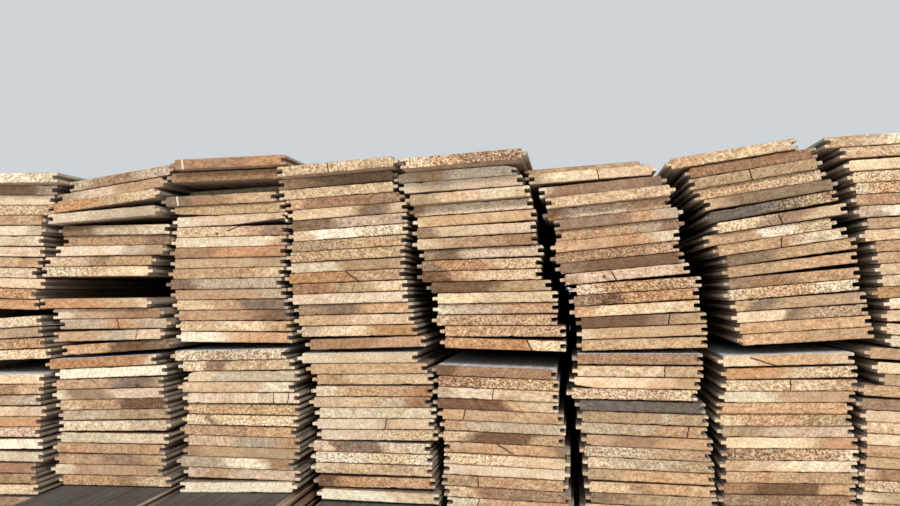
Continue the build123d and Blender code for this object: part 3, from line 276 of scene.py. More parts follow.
        (240.2, 122.84, -1.28, "L", -0.4, -6.9, 0.1, 145, "palegrey 0.58 olivetan", "speckl"),
        (243.6, 110.16, -1.28, "L", 0.3, -4.4, -0.8, 145, "pale 0.24 palegrey 0.75 olivetan", "some"),
        (243.6, 97.49, -1.20, "L", 1.5, -8.4, -1.3, 145, "olivetan 0.29 orangetan", ""),
        (245.3, 83.11, -1.02, "L", -0.4, -0.3, 0.6, 145, "straw 0.37 brown 0.50 orangetan", ""),
        (246.9, 70.47, -1.03, "L", -0.3, 6.8, 0.4, 145, "greybrown 0.24 brown 0.42 olivetan", ""),
    ],
    "column_6_bottom_boards": [
        (240.4, 57.59, -0.82, "L", -3.7, 3.5, 1.2, 145, "", "slate 0.5"),
        (246.7, 44.73, -0.62, "L", 0.1, 5.4, -1.0, 145, "", ""),
        (238.8, 31.85, -0.41, "R", -3.7, 3.2, 0.2, 145, "", ""),
        (244.4, 18.97, -0.21, "L", -3.6, -7.6, -2.9, 145, "", ""),
        (245.7, 6.10, 0.00, "L", -6.4, 1.4, 1.8, 145, "", ""),
    ],
    "column_7_upper_boards": [
        (337.5, 458.35, 8.61, "L", 3.6, -5.4, 1.2, 145, "orangetan 0.26 straw", "figure; some"),
        (359.0, 448.22, 8.75, "L", -0.7, 3.0, -1.2, 145, "rosybrown", ""),
        (362.8, 435.50, 9.08, "R", 6.8, -3.0, 1.3, 145, "olivetan", "crack 68"),
        (368.4, 423.64, 9.08, "R", 1.2, 2.6, 0.4, 145, "orangetan 0.50 straw", "speck"),
        (379.7, 412.69, 9.08, "R", 2.7, -0.2, -0.8, 145, "tan 0.16 greybrown", ""),
        (380.4, 398.79, 9.77, "L", 0.1, 5.5, -1.8, 145, "slate 0.56 greybrown 0.74 olivetan", "speckr"),
        (388.1, 385.35, 8.63, "L", 4.4, -2.1, -0.7, 145, "creamyellow 0.36 greyrose 0.71 straw", "split 73 4.0 76 -8.9; speckl"),
        (378.9, 370.73, 8.15, "R", -1.5, -1.5, -2.3, 145, "tan 0.43 white 0.70 straw", "speckr"),
        (388.5, 359.36, 8.15, "L", 2.5, 3.8, 0.5, 145, "tan 0.43 rosytan 0.65 pale", "crack 75"),
        (399.0, 348.13, 8.15, "L", 0.3, -1.6, -0.4, 145, "greybrown 0.4 tan", ""),
        (399.1, 333.81, 6.93, "L", 0.6, 0.7, 1.5, 145, "olivetan 0.42 tan", ""),
        (401.2, 318.99, 5.16, "L", -0.4, 5.4, -2.0, 145, "greyrose 0.2 rosybrown 0.58 rosytan", ""),
        (399.9, 306.22, 5.16, "L", 1.4, -5.1, 0.9, 145, "straw 0.20 orangetan 0.68 cream", "speck2"),
        (407.1, 293.10, 4.38, "L", 1.2, -4.7, 0.9, 145, "tan 0.16 greybrown 0.33 olivetan", ""),
        (408.6, 280.06, 4.03, "L", 0.8, -3.9, -3.1, 145, "creamyellow 0.40 greybrown 0.51 olivetan", "speckr"),
        (411.9, 267.62, 4.00, "L", 0.2, 4.6, 2.7, 145, "orangetan", ""),
        (414.5, 255.10, 3.95, "L", 0.7, -1.2, -0.5, 145, "orangetan 0.46 rosytan", ""),
    ],
    "column_7_lower_boards": [
        (393.0, 229.60, 2.23, "L", 3.1, 3.0, -1.4, 145, "creamyellow 0.28 orangetan 0.82 straw", "split 36 3.0 66 -7.7; slate"),
        (397.0, 214.99, 1.96, "L", -0.7, 1.5, 3.3, 145, "orange 0.47 straw", "speckr"),
        (396.2, 201.21, 1.05, "L", 1.1, -8.4, -2.7, 145, "straw 0.8 tan", "crack 75; speck"),
        (394.2, 188.50, 1.00, "L", 0.2, 1.4, -2.2, 145, "cream 0.42 rosytan", ""),
        (391.5, 175.85, 1.00, "R", -0.9, 1.3, 1.0, 145, "orangetan", "figure; some"),
        (388.9, 163.20, 0.99, "L", 3.6, 0.5, -3.1, 145, "creamyellow 0.17 orangetan 0.63 olivetan", "speck"),
        (392.1, 150.60, 0.96, "L", 0.0, 4.7, 3.2, 145, "olivetan 0.4 palepink", ""),
        (395.9, 137.97, 0.88, "L", -0.5, 4.9, 1.0, 145, "creamyellow 0.71 brown 0.76 orange", ""),
        (396.4, 125.38, 0.88, "L", 1.3, -3.8, 1.4, 145, "brown 0.39 tan 0.86 cream", "speck2"),
        (394.5, 112.75, 0.88, "L", 1.0, -0.3, -2.8, 145, "tan 0.2 straw 0.42 cream", ""),
        (395.2, 100.16, 0.88, "L", 1.1, -6.6, -2.9, 145, "tan 0.51 rosytan", ""),
        (393.1, 87.52, 0.88, "L", -1.0, 1.6, -0.4, 145, "rosybrown 0.24 mauvebrown 0.75 orangetan", ""),
        (392.5, 74.91, 0.88, "L", 0.8, 3.3, 0.1, 145, "greyrose 0.72 rosybrown", "some"),
        (393.1, 62.32, 0.88, "L", 0.9, 3.0, 0.2, 145, "cream", ""),
    ],
    "column_7_bottom_boards": [
        (392.0, 48.27, 0.66, "L", 8.4, 2.3, 0.5, 145, "", "slate 0.5"),
        (392.7, 34.20, 0.44, "L", 5.8, -7.1, -3.0, 145, "", ""),
        (391.6, 20.15, 0.22, "R", 0.1, -2.3, -0.3, 145, "", ""),
        (396.6, 6.10, 0.00, "L", 7.5, 4.4, -2.9, 145, "", ""),
    ],
    "column_8_upper_boards": [
        (510.0, 472.54, 2.64, "R", 3.7, -3.0, -0.9, 145, "tan 0.2 palepink 0.42 white", "figure"),
        (526.4, 460.62, 2.68, "R", 1.9, -1.3, -0.9, 145, "straw", "figure; some"),
        (529.8, 446.11, 2.87, "L", 3.6, -2.8, 3.2, 145, "creamyellow", ""),
        (534.2, 433.28, 2.60, "L", 1.3, -6.0, 0.7, 145, "creamyellow", "speck2"),
        (537.2, 420.48, 2.27, "L", 0.7, -2.9, -1.1, 145, "paleolive 0.14 orangetan", "speck2"),
        (538.0, 407.85, 2.31, "L", -0.1, -2.0, 1.7, 145, "rosytan", ""),
        (540.2, 395.04, 2.54, "L", 1.3, -1.7, -1.5, 145, "palegrey 0.22 white", ""),
        (548.8, 382.37, 2.93, "L", 0.0, 2.8, 2.0, 145, "olivetan", ""),
        (545.3, 369.32, 3.14, "L", 2.2, -4.7, -1.1, 145, "straw", ""),
        (556.9, 357.34, 3.14, "L", 1.0, 0.3, -3.1, 145, "rosytan", "some"),
        (558.7, 344.82, 3.14, "L", -0.2, -3.7, 1.2, 145, "tan", ""),
        (561.2, 332.31, 3.14, "L", 0.7, -5.0, -2.8, 145, "straw", ""),
        (563.6, 319.78, 3.14, "L", -0.1, 6.8, 0.3, 145, "straw", ""),
        (558.3, 306.87, 3.14, "L", -0.3, 6.1, -2.9, 145, "orangebrown", "some"),
        (570.1, 294.89, 3.14, "L", -0.4, 4.4, -3.5, 145, "cream", ""),
        (567.1, 280.36, 1.98, "L", 0.8, -1.9, -3.4, 145, "straw", ""),
        (566.8, 261.84, -1.96, "L", -0.7, -0.6, -0.8, 145, "straw", ""),
        (570.6, 247.36, -3.06, "L", 0.1, -6.3, -2.0, 145, "pale", ""),
    ],
    "column_8_lower_boards": [
        (548.0, 235.14, -2.60, "L", 3.4, -2.6, -0.2, 145, "rosytan", "slate 0.3"),
        (556.8, 218.59, -2.83, "L", -1.2, -3.1, 3.2, 145, "creamyellow", ""),
        (563.5, 205.62, -2.83, "L", 0.6, 0.1, -3.1, 145, "olivetan", ""),
        (541.8, 194.06, -2.83, "L", -0.3, 3.9, -0.5, 145, "tan 0.12 rosytan", ""),
        (539.9, 180.19, -1.77, "L", 0.3, 5.6, 1.0, 145, "greyrose", ""),
        (543.4, 167.48, -1.77, "L", 0.4, -6.5, -3.3, 145, "straw", "calm"),
        (544.2, 154.85, -1.77, "L", 0.8, -1.2, 2.6, 145, "straw", "figure"),
        (544.0, 142.25, -1.77, "L", 1.0, 5.8, -0.9, 145, "creamyellow", ""),
        (543.8, 129.65, -1.77, "L", 1.5, 3.6, 2.7, 145, "rosytan", ""),
        (543.5, 117.05, -1.77, "L", -1.1, 3.9, -0.5, 145, "tan", ""),
        (540.7, 104.53, -1.77, "L", 1.4, 6.9, -2.0, 145, "straw 0.11 rosybrown", ""),
        (541.2, 91.91, -1.77, "L", -0.2, -3.2, -0.2, 145, "straw", "speck"),
        (538.7, 79.38, -1.77, "L", -0.6, 2.3, -0.4, 145, "pale 0.13 olivetan", ""),
        (538.6, 66.78, -1.77, "L", -1.0, -0.6, -0.1, 145, "tan", ""),
    ],
    "column_8_bottom_boards": [
        (537.3, 51.59, -1.33, "L", 3.6, 7.2, 0.4, 145, "", "slate 0.5"),
        (538.0, 36.42, -0.89, "L", -0.9, -8.7, 2.3, 145, "", ""),
        (539.7, 21.27, -0.44, "L", 0.4, 1.8, -2.5, 145, "", ""),
        (545.3, 6.10, 0.00, "L", -2.8, 7.6, 3.1, 145, "", ""),
    ],
}

# x, z, tilt, height, width and the two ends, behind the face, of each hidden lath in the open gaps
LATHS = [
    (-416.7, 309.65, 0.56, 25.7, 118.0, 407.5, 452.5),
    (-416.7, 309.65, 0.56, 25.7, 118.0, 1477.5, 1522.5),
    (-416.7, 309.65, 0.56, 25.7, 118.0, 2547.5, 2592.5),
    (-245.0, 239.19, 0.71, 6.4, 118.0, 407.5, 452.5),
    (-245.0, 239.19, 0.71, 6.4, 118.0, 1477.5, 1522.5),
    (-245.0, 239.19, 0.71, 6.4, 118.0, 2547.5, 2592.5),
    (75.5, 227.82, -1.51, 19.1, 118.0, 407.5, 452.5),
    (75.5, 227.82, -1.51, 19.1, 118.0, 1477.5, 1522.5),
    (75.5, 227.82, -1.51, 19.1, 118.0, 2547.5, 2592.5),
    (403.8, 242.18, 3.09, 9.7, 118.0, 407.5, 452.5),
    (403.8, 242.18, 3.09, 9.7, 118.0, 1477.5, 1522.5),
    (403.8, 242.18, 3.09, 9.7, 118.0, 2547.5, 2592.5),
    (-607.0, 274.63, 3.94, 14.5, 36.0, 22.0, 2978.0),
    (-607.0, 208.32, 0.85, 13.8, 36.0, 22.0, 2978.0),
]

# ---------------------------------------------------------------- wood tones
def linear(r, g, b):
    def one(c):
        c /= 255.0
        return c / 12.92 if c <= 0.04045 else ((c + 0.055) / 1.055) ** 2.4
    return (one(r), one(g), one(b))


TONES = {
    "white": linear(242, 231, 208),
    "creamyellow": linear(226, 204, 171),
    "cream": linear(221, 204, 178),
    "straw": linear(210, 186, 155),
    "pale": linear(213, 196, 171),
    "palepink": linear(211, 188, 163),
    "palegrey": linear(189, 171, 149),
    "paleolive": linear(211, 199, 171),
    "tan": linear(192, 163, 130),
    "rosytan": linear(186, 154, 124),
    "orangetan": linear(201, 167, 131),
    "orange": linear(194, 152, 114),
    "orangebrown": linear(178, 139, 102),
    "olivetan": linear(175, 152, 122),
    "rosybrown": linear(161, 128, 100),
    "brown": linear(162, 134, 106),
    "greyrose": linear(154, 128, 107),
    "greybrown": linear(135, 114, 93),
    "greymauve": linear(133, 114, 98),
    "slate": linear(112, 102, 94),
    "mauvebrown": linear(118, 91, 70),
}


# ---------------------------------------------------------------- board mesh
def template():
    """Grid of a board's end with the tongue at the left, its outline, and how rings join it to the far end."""
    body = 36
    cols = body + 12
    tip, root = 0, 3
    floor, mouth = cols - 5, cols
    keep = set()
    for i in range(cols):
        for j in range(6):
            if i < root and j not in (2, 3):
                continue
            if i >= floor and j in (2, 3):
                continue
            keep.add((i, j))
    used = {}
    for i, j in sorted(keep):
        for p in ((i, j), (i + 1, j), (i + 1, j + 1), (i, j + 1)):
            used.setdefault(p, len(used))
    quads = [tuple(used[p] for p in ((i, j), (i + 1, j), (i + 1, j + 1), (i, j + 1))) for i, j in sorted(keep)]
    once = {}
    for q in quads:
        for a, b in zip(q, q[1:] + q[:1]):
            if (b, a) in once:
                del once[(b, a)]
            else:
                once[(a, b)] = 1
    follow = {a: b for a, b in once}
    start = used[(root, 0)]
    loop = [start]
    while follow[loop[-1]] != start:
        loop.append(follow[loop[-1]])
    ij = {k: p for p, k in used.items()}
    coarse = []
    for n, k in enumerate(loop):
        i, j = ij[k]
        corner = (i, j) in {
            (0, 2), (0, 4), (root, 0), (root, 2), (root, 4), (root, 6), (root + 2, 0), (root + 2, 6),
            (floor, 2), (floor, 4), (mouth, 0), (mouth, 2), (mouth, 4), (mouth, 6), (mouth - 2, 0), (mouth - 2, 6),
        }
        if corner or (j in (0, 6) and root + 4 < i < floor - 1 and (i - root) % 5 == 2):
            coarse.append(n)
    return cols, used, quads, loop, coarse, ij, root, floor, mouth


COLS, USED, QUADS, LOOP, COARSE, IJ, ROOT, FLOOR, MOUTH = template()
GI = np.array([IJ[k][0] for k in range(len(IJ))])
GJ = np.array([IJ[k][1] for k in range(len(IJ))])
LOOP_A = np.array(LOOP)
COARSE_A = np.array(COARSE)
LEVELS = np.array([-HALF, -4.3, -2.1, 0.0, 2.1, 4.3, HALF])

NEAR = (0.0, 0.45, 3.0, 11.0)                       # rings behind the sawn end, with every point of the outline
LONG = (16.0, 70.0, 220.0, 560.0, 1050.0, 1560.0, 2080.0, 2520.0, 2830.0, 2984.0)
FAR = (4.0, 0.45, 0.0)                              # rings before the far end, from the far end


def faces_of():
    """Faces of one board, in the order of its points: near cap, near rings, long rings, far rings, far cap."""
    out = list(QUADS)
    cap = len(IJ)
    m, c = len(LOOP), len(COARSE)
    rings = [list(LOOP)]
    at = cap
    for _ in NEAR[1:]:
        rings.append(list(range(at, at + m)))
        at += m
    for a, b in zip(rings, rings[1:]):
        for i in range(m):
            k = (i + 1) % m
            out.append((a[k], a[i], b[i], b[k]))
    fine = rings[-1]
    longs = []
    for _ in LONG:
        longs.append(list(range(at, at + c)))
        at += c

    def stitch(fine, coarse, flip):
        for n in range(c):
            a, b = COARSE[n], COARSE[(n + 1) % c]
            span = [(a + s) % m for s in range((b - a) % m + 1)]
            face = [fine[s] for s in reversed(span)] + [coarse[n], coarse[(n + 1) % c]]
            out.append(tuple(reversed(face)) if flip else tuple(face))

    stitch(fine, longs[0], False)
    for a, b in zip(longs, longs[1:]):
        for i in range(c):
            k = (i + 1) % c
            out.append((a[k], a[i], b[i], b[k]))
    fars = []
    for _ in FAR[:-1]:
        fars.append(list(range(at, at + m)))
        at += m
    stitch(fars[0], longs[-1], True)
    last = [at + k for k in range(cap)]
    fars.append([last[k] for k in LOOP])
    for a, b in zip(fars, fars[1:]):
        for i in range(m):
            k = (i + 1) % m
            out.append((a[k], a[i], b[i], b[k]))
    ends = len(out)
    out += [tuple(last[k] for k in reversed(q)) for q in QUADS]
    at += cap
    return out, at, ends


FACES, POINTS, FAR_FACES = faces_of()
MIRRORED = [tuple(reversed(f)) for f in FACES]
IS_END = np.zeros(len(FACES), dtype=np.int32)
IS_END[: len(QUADS)] = 1
IS_END[FAR_FACES:] = 1


def waves(rng, lengths, sizes, x, y=None, stretch=40.0):
    """A smooth uneven line or sheet, about -1..1 for sizes that add up to 1."""
    out = np.zeros_like(x, dtype=float)
    for length, size in zip(lengths, sizes):
        phase = rng.uniform(0, 2 * math.pi, 2)
        turn = x / length
        if y is not None:
            turn = turn + y / (length * stretch)
        out += size * np.sin(2 * math.pi * turn + phase[0] + 0.7 * np.sin(2 * math.pi * x / (length * 2.3) + phase[1]))
    return out


def number(words, k, default):
    return float(words[k]) if len(words) > k else default


def board(row, rng, lie_on=(True, True)):
    """Points of one board in metres, and what its surface needs to know at each."""
    x, z, tilt, tongue, front, back, drift, width, tones, marks = row
    marks = [m.split() for m in marks.split(";") if m.strip()]
    named = {m[0]: m for m in marks}
    mirror = tongue == "R"

    # where each column of the grid stands, from the tongue's tip
    body = np.linspace(9.0, width - 9.4, COLS - 11)
    body[1:-1] += rng.uniform(-0.9, 0.9, COLS - 13)
    cols = np.concatenate([[0.0, 0.8, 3.4, TONGUE, 6.5, 7.4], body,
                           [width - GROOVE, width - 4.3, width - 2.4, width - 1.2, width - 0.4, width]])
    u = cols[GI].copy()
    v = LEVELS[GJ].copy()

    # rounded shoulders and lips, more on the upper arris than on the lower
    over, under = rng.uniform(1.5, 2.4), rng.uniform(0.7, 1.5)
    edge = np.minimum(np.abs(cols - TONGUE) + (cols < TONGUE) * 99, width - cols)
    def arris(c):
        s = np.clip(edge, 0, c)
        return c - np.sqrt(np.maximum(c * c - (c - s) ** 2, 0))
    top = HALF - arris(over)[GI]
    low = -HALF + arris(under)[GI]
    v = np.where(GJ == 6, top, np.where(GJ == 5, np.minimum(4.3, top - 0.35), v))
    v = np.where(GJ == 0, low, np.where(GJ == 1, np.maximum(-4.3, low + 0.35), v))
    is_tongue = GI < ROOT
    v = np.where(is_tongue & (GJ == 4), 2.0, np.where(is_tongue & (GJ == 2), -2.0, v))
    v = np.where((GI == 0) & (GJ == 4), 1.55, np.where((GI == 0) & (GJ == 2), -1.55, v))
    in_groove = GI >= FLOOR
    v = np.where(in_groove & (GJ == 4), 2.4, np.where(in_groove & (GJ == 2), -2.4, v))
    v = np.where((GI == FLOOR) & (GJ == 4), 2.1, np.where((GI == FLOOR) & (GJ == 2), -2.1, v))

    # how far the two broad faces stand in from their true planes
    sheet = [rng.integers(1 << 30) for _ in range(6)]
    gap = rng.uniform(0.02, 0.09, 2)
    fuzz = rng.uniform(0.04, 0.20, 2)
    closes = rng.uniform(0.0, 0.26), rng.uniform(0.04, 0.30)
    chips = []
    for side in (0, 1):
        for _ in range(rng.integers(1, 4)):
            chips.append((side, rng.uniform(8, width - 8), rng.uniform(1.5, 4.5), rng.uniform(0.3, 0.9), rng.uniform(2, 8)))
    cuts = []
    for m in marks:
        if m[0] in ("cuttop", "cutlow"):
            s, a, da, b, db = (0 if m[0] == "cuttop" else 1), *[float(w) for w in m[1:5]]
            if mirror:
                pass
            cuts.append((s, a, da, b, db, number(m, 5, 60.0)))
        if m[0] == "chip":
            chips.append((0 if m[1] == "top" else 1, float(m[2]), float(m[3]), float(m[4]), number(m, 5, 6.0)))

    def inset(side, across, y, ring):
        """across is measured from the left end of the board as it lies"""
        r1 = np.random.default_rng(sheet[side])
        long = waves(r1, (61, 23, 11), (0.5, 0.3, 0.2), across, y, 30.0)
        out = gap[side] * (1 + long)
        r2 = np.random.default_rng(sheet[2 + side])
        out = out + fuzz[side] * np.exp(-y / 3.0) * (0.55 + 0.6 * waves(r2, (9.7, 5.3, 3.1), (0.4, 0.35, 0.25), across))
        for s, cu, cw, cd, cy in chips:
            if s == side:
                out = out + cd * np.exp(-((across - cu) / cw) ** 2 - (y / cy) ** 2)
        for s, a, da, b, db, deep in cuts:
            if s == side:
                w = np.interp(across, [a - 0.01, a, b, b + 0.01], [0, da, db, 0])
                out = out + w * np.clip((deep - y) / (deep * 0.5), 0, 1)
        out = np.maximum(out, 0.03)
        if lie_on[side]:
            # weathered boards have swollen shut over most of their faces, and here and there at the ends
            inner = np.clip((y - 25.0) / 25.0, 0, 1) * np.clip((LENGTH - 40.0 - y) / 30.0, 0, 1)
            r3 = np.random.default_rng(sheet[4 + side])
            there = np.clip(0.5 + 0.9 * waves(r3, (47, 21, 9.5), (0.5, 0.3, 0.2), across), 0, 1)
            out = out - np.maximum(0.20 * inner, closes[side] * there * np.clip((LENGTH - y) / 90.0, 0, 1))
        return out

    lie = (lambda q: width - q) if mirror else (lambda q: q)

    def shaped(uu, vv, y):
        a = lie(uu)
        t_in, b_in = inset(0, a, y, 0), inset(1, a, y, 0)
        h = (vv + HALF) / (2 * HALF)
        return -HALF + b_in + h * (2 * HALF - t_in - b_in)

    # the sawn end: a saw plane that isn't quite square, a rough surface, and its cracks
    rough = 0.10 + 0.10 * ("speck" in named) + 0.16 * ("speck2" in named)
    def end(rng):
        d = rng.uniform(-0.5, 0.5) * (u / width - 0.5) + rng.uniform(-0.25, 0.25) * v / HALF
        d = d + 0.16 * waves(rng, (37, 17, 8.3), (0.5, 0.3, 0.2), u, v * 3)
        d = d + rng.uniform(-rough, rough, len(u))
        if rng.random() < 0.35:
            d = d + 0.35 * (u > rng.uniform(30, width - 30))
        return d
    d_near = end(rng)
    un = u.copy()
    for m in marks:
        if m[0] == "crack":
            want = lie(float(m[1]))
            inner = np.arange(ROOT + 5, FLOOR - 3)
            c = inner[np.argmin(np.abs(cols[inner] - want))]
            lean = number(m, 2, rng.uniform(-0.25, 0.25))
            line = want + lean * LEVELS + rng.uniform(-0.35, 0.35, 7)
            wide = number(m, 3, 0.75)
            for off, sh in ((-1, -wide), (0, 0.0), (1, wide)):
                pick = GI == c + off
                un[pick] = line[GJ[pick]] + sh
            d_near[GI == c] += 3.2
    d_far = end(rng)
    d_near -= d_near.min()
    d_far -= d_far.min()

    length = LENGTH + front + back
    P, Q = [], []          # (u, v, y) of each point; 1 on the sawn end's own skin

    def outward():
        """unit normals of the outline in the plane of the end"""
        pu, pv = u[LOOP_A], v[LOOP_A]
        tu = np.roll(pu, -1) - np.roll(pu, 1)
        tv = np.roll(pv, -1) - np.roll(pv, 1)
        n = np.hypot(tu, tv)
        return tv / n, -tu / n
    ou, ov = outward()
    bite = rng.uniform(0.04, 0.22, len(LOOP))
    ragged = rng.uniform(0.1, 1.0) * (1.7 if "speck" in named or "speck2" in named else 1.0)
    down = ov < -0.7
    bite = bite + down * ragged * np.maximum(rng.normal(-0.12, 0.42, len(LOOP)), 0.0) + (~down) * 0.4 * ragged * np.maximum(rng.normal(-0.1, 0.3, len(LOOP)), 0.0)
    bite = np.minimum(bite, np.where(np.abs(ov) > 0.7, 1.3, 0.45))

    def cap(uu, d, y0, sign):
        a, b = uu.copy(), shaped(uu, v, 0.0)
        a[LOOP_A] -= ou * bite
        b[LOOP_A] -= ov * bite
        return np.stack([a, b, y0 + sign * d], 1)

    P.append(cap(un, d_near, 0.0, 1))
    lu, lv = un[LOOP_A], v[LOOP_A]
    for y in NEAR[1:]:
        k = max(0.0, 1 - y / 9.0)
        uu = u[LOOP_A] + (lu - u[LOOP_A]) * (1 if y < 4 else 0)
        P.append(np.stack([uu, shaped(uu, lv, y), y + k * d_near[LOOP_A]], 1))
    cu, cv = u[LOOP_A][COARSE_A], v[LOOP_A][COARSE_A]
    for y in LONG:
        y = y * (length / LENGTH) if y > 100 else y
        P.append(np.stack([cu, shaped(cu, cv, y), np.full(len(cu), y)], 1))
    for y in FAR[:-1]:
        k = max(0.0, 1 - y / 9.0)
        P.append(np.stack([u[LOOP_A], shaped(u[LOOP_A], v[LOOP_A], y), length - y - k * d_far[LOOP_A]], 1))
    P.append(cap(u, d_far, length, -1))
    P = np.concatenate(P)
    P[:, 0] = lie(P[:, 0])

    # into the row's frame
    t = math.radians(tilt)
    along = np.array([drift, length, 0.0])
    along /= np.linalg.norm(along)
    across = np.array([math.cos(t), 0.0, math.sin(t)])
    across -= along * across.dot(along)
    across /= np.linalg.norm(across)
    up = np.cross(across, along)
    origin = np.array([x, FACE_Y - front, z])
    W = origin + np.outer(P[:, 0] - width / 2, across) + np.outer(P[:, 1], up) + np.outer(P[:, 2], along)

    # what the materials read, the same all over one board
    seed = rng.uniform(0, 50)
    words = tones.split()
    shades, stops = [], []
    for k in range(0, len(words), 2):
        shades.append(words[k])
        if k + 1 < len(words):
            stops.append(float(words[k + 1]) * width)
    if not shades:
        shades = [rng.choice(["straw", "tan", "rosytan", "cream", "orangetan", "pale", "olivetan"])]
        if rng.random() < 0.5:
            shades.append(rng.choice(["straw", "tan", "rosybrown", "brown", "cream", "palegrey"]))
            stops.append(rng.uniform(0.2, 0.8) * width)
    def shade(name):
        c = np.array(TONES[name])
        c = c * (1 + rng.uniform(-0.05, 0.05)) * (1 + rng.uniform(-0.025, 0.025, 3))
        return np.clip(c, 0, 0.92)
    c3 = [shade(s) for s in shades]
    while len(c3) < 3:
        c3.append(c3[-1])
        stops.append(900.0)
    soft = rng.uniform(5.0, 17.0)
    # slate sets how much of the upper face takes the open-gap colours of the faces material: painted skylight near the
    # end on the tiers' open top boards, dark slate grey on the bottom boards
    slate = number(named["slate"], 1, 1.0) if "slate" in named else 0.0
    light = shades[0] in ("white", "cream", "creamyellow", "pale")
    sl = sr = rng.choice([0.10, 0.18, 0.30, 0.5]) * (0.55 if light else 1.0)
    calm = rng.uniform(0.35, 0.70) if light else rng.uniform(0.65, 1.20)
    if "calm" in named: sl, sr, calm = 0.06, 0.06, 0.35
    if "some" in named: sl, sr, calm = 0.55, 0.55, 1.1
    if "speck" in named: sl = sr = 0.80
    if "speck2" in named: sl = sr = 1.15
    if "speckl" in named: sl = 0.95
    if "speckr" in named: sr = 0.95
    hatch = 1.0 if "hatch" in named else rng.choice([0.0, 0.0, 0.15, 0.35])
    pu, pv = width / 2 + rng.uniform(-60, 60), rng.choice([-1, 1]) * rng.uniform(20, 95)
    contrast = rng.uniform(0.03, 0.16)
    if "figure" in named:
        contrast, pv = 0.60, rng.choice([-1, 1]) * rng.uniform(12, 40)
    if "rings" in named:
        pu, pv, contrast = float(named["rings"][1]), -9.0, 0.66
    figure = 1.0 if "figure" in named else rng.uniform(0.15, 0.4)
    scratch = float(named["scratch"][1]) if "scratch" in named else -900.0
    knot = (-900.0, 0.0, 1.0)
    if "knot" in named:
        knot = (float(named["knot"][1]), float(named["knot"][2]), number(named["knot"], 3, 1.6))
    sa, sb = (-900.0, 0.0, 0.0), (-901.0, 0.0, 0.0)
    if "split" in named:
        w = [float(q) for q in named["split"][1:5]]
        sa, sb = (w[0], w[1], 0.0), (w[2], w[3], 0.0)
    n = len(P)
    facts = {
        "at": P,
        "tone1": np.tile(c3[0], (n, 1)), "tone2": np.tile(c3[1], (n, 1)), "tone3": np.tile(c3[2], (n, 1)),
        "stain": np.tile((stops[0], stops[1], soft), (n, 1)),
        "torn": np.tile((sl, sr, hatch), (n, 1)),
        "pith": np.tile((pu, pv, contrast), (n, 1)),
        "own": np.tile((scratch, figure, seed), (n, 1)),
        "knot": np.tile(knot, (n, 1)),
        "split_a": np.tile(sa, (n, 1)), "split_b": np.tile(sb, (n, 1)),
        "worn": np.tile((rng.uniform(0.30, 1.0), slate, width), (n, 1)),
        "uneven": np.tile((calm, rng.uniform(0.0, 1.0), 0.0), (n, 1)),
    }
    return W * MM, facts, mirror


def stack(name, rows, seed, touch):
    """One mesh of a column's boards in one tier; touch says if boards lie on it and under it."""
    verts, faces, ends, facts = [], [], [], {}
    at = 0
    for k, row in enumerate(rows):
        rng = np.random.default_rng(seed * 100 + k)
        W, f, mirror = board(row, rng, (touch[0] or k > 0, touch[1] or k < len(rows) - 1))
        verts.append(W)
        src = MIRRORED if mirror else FACES
        faces += [tuple(i + at for i in q) for q in src]
        ends.append(IS_END)
        for key, val in f.items():
            facts.setdefault(key, []).append(val)
        at += len(W)
    me = bpy.data.meshes.new(name)
    me.from_pydata(np.concatenate(verts).tolist(), [], faces)
    for key, vals in facts.items():
        a = me.attributes.new(key, "FLOAT_VECTOR", "POINT")
        a.data.foreach_set("vector", np.concatenate(vals).astype(np.float32).ravel())
    me.polygons.foreach_set("material_index", np.concatenate(ends))
    me.shade_smooth()
    me.set_sharp_from_angle(angle=math.radians(38))
    me.validate()
    ob = bpy.data.objects.new(name, me)
    bpy.context.scene.collection.objects.link(ob)
    return ob


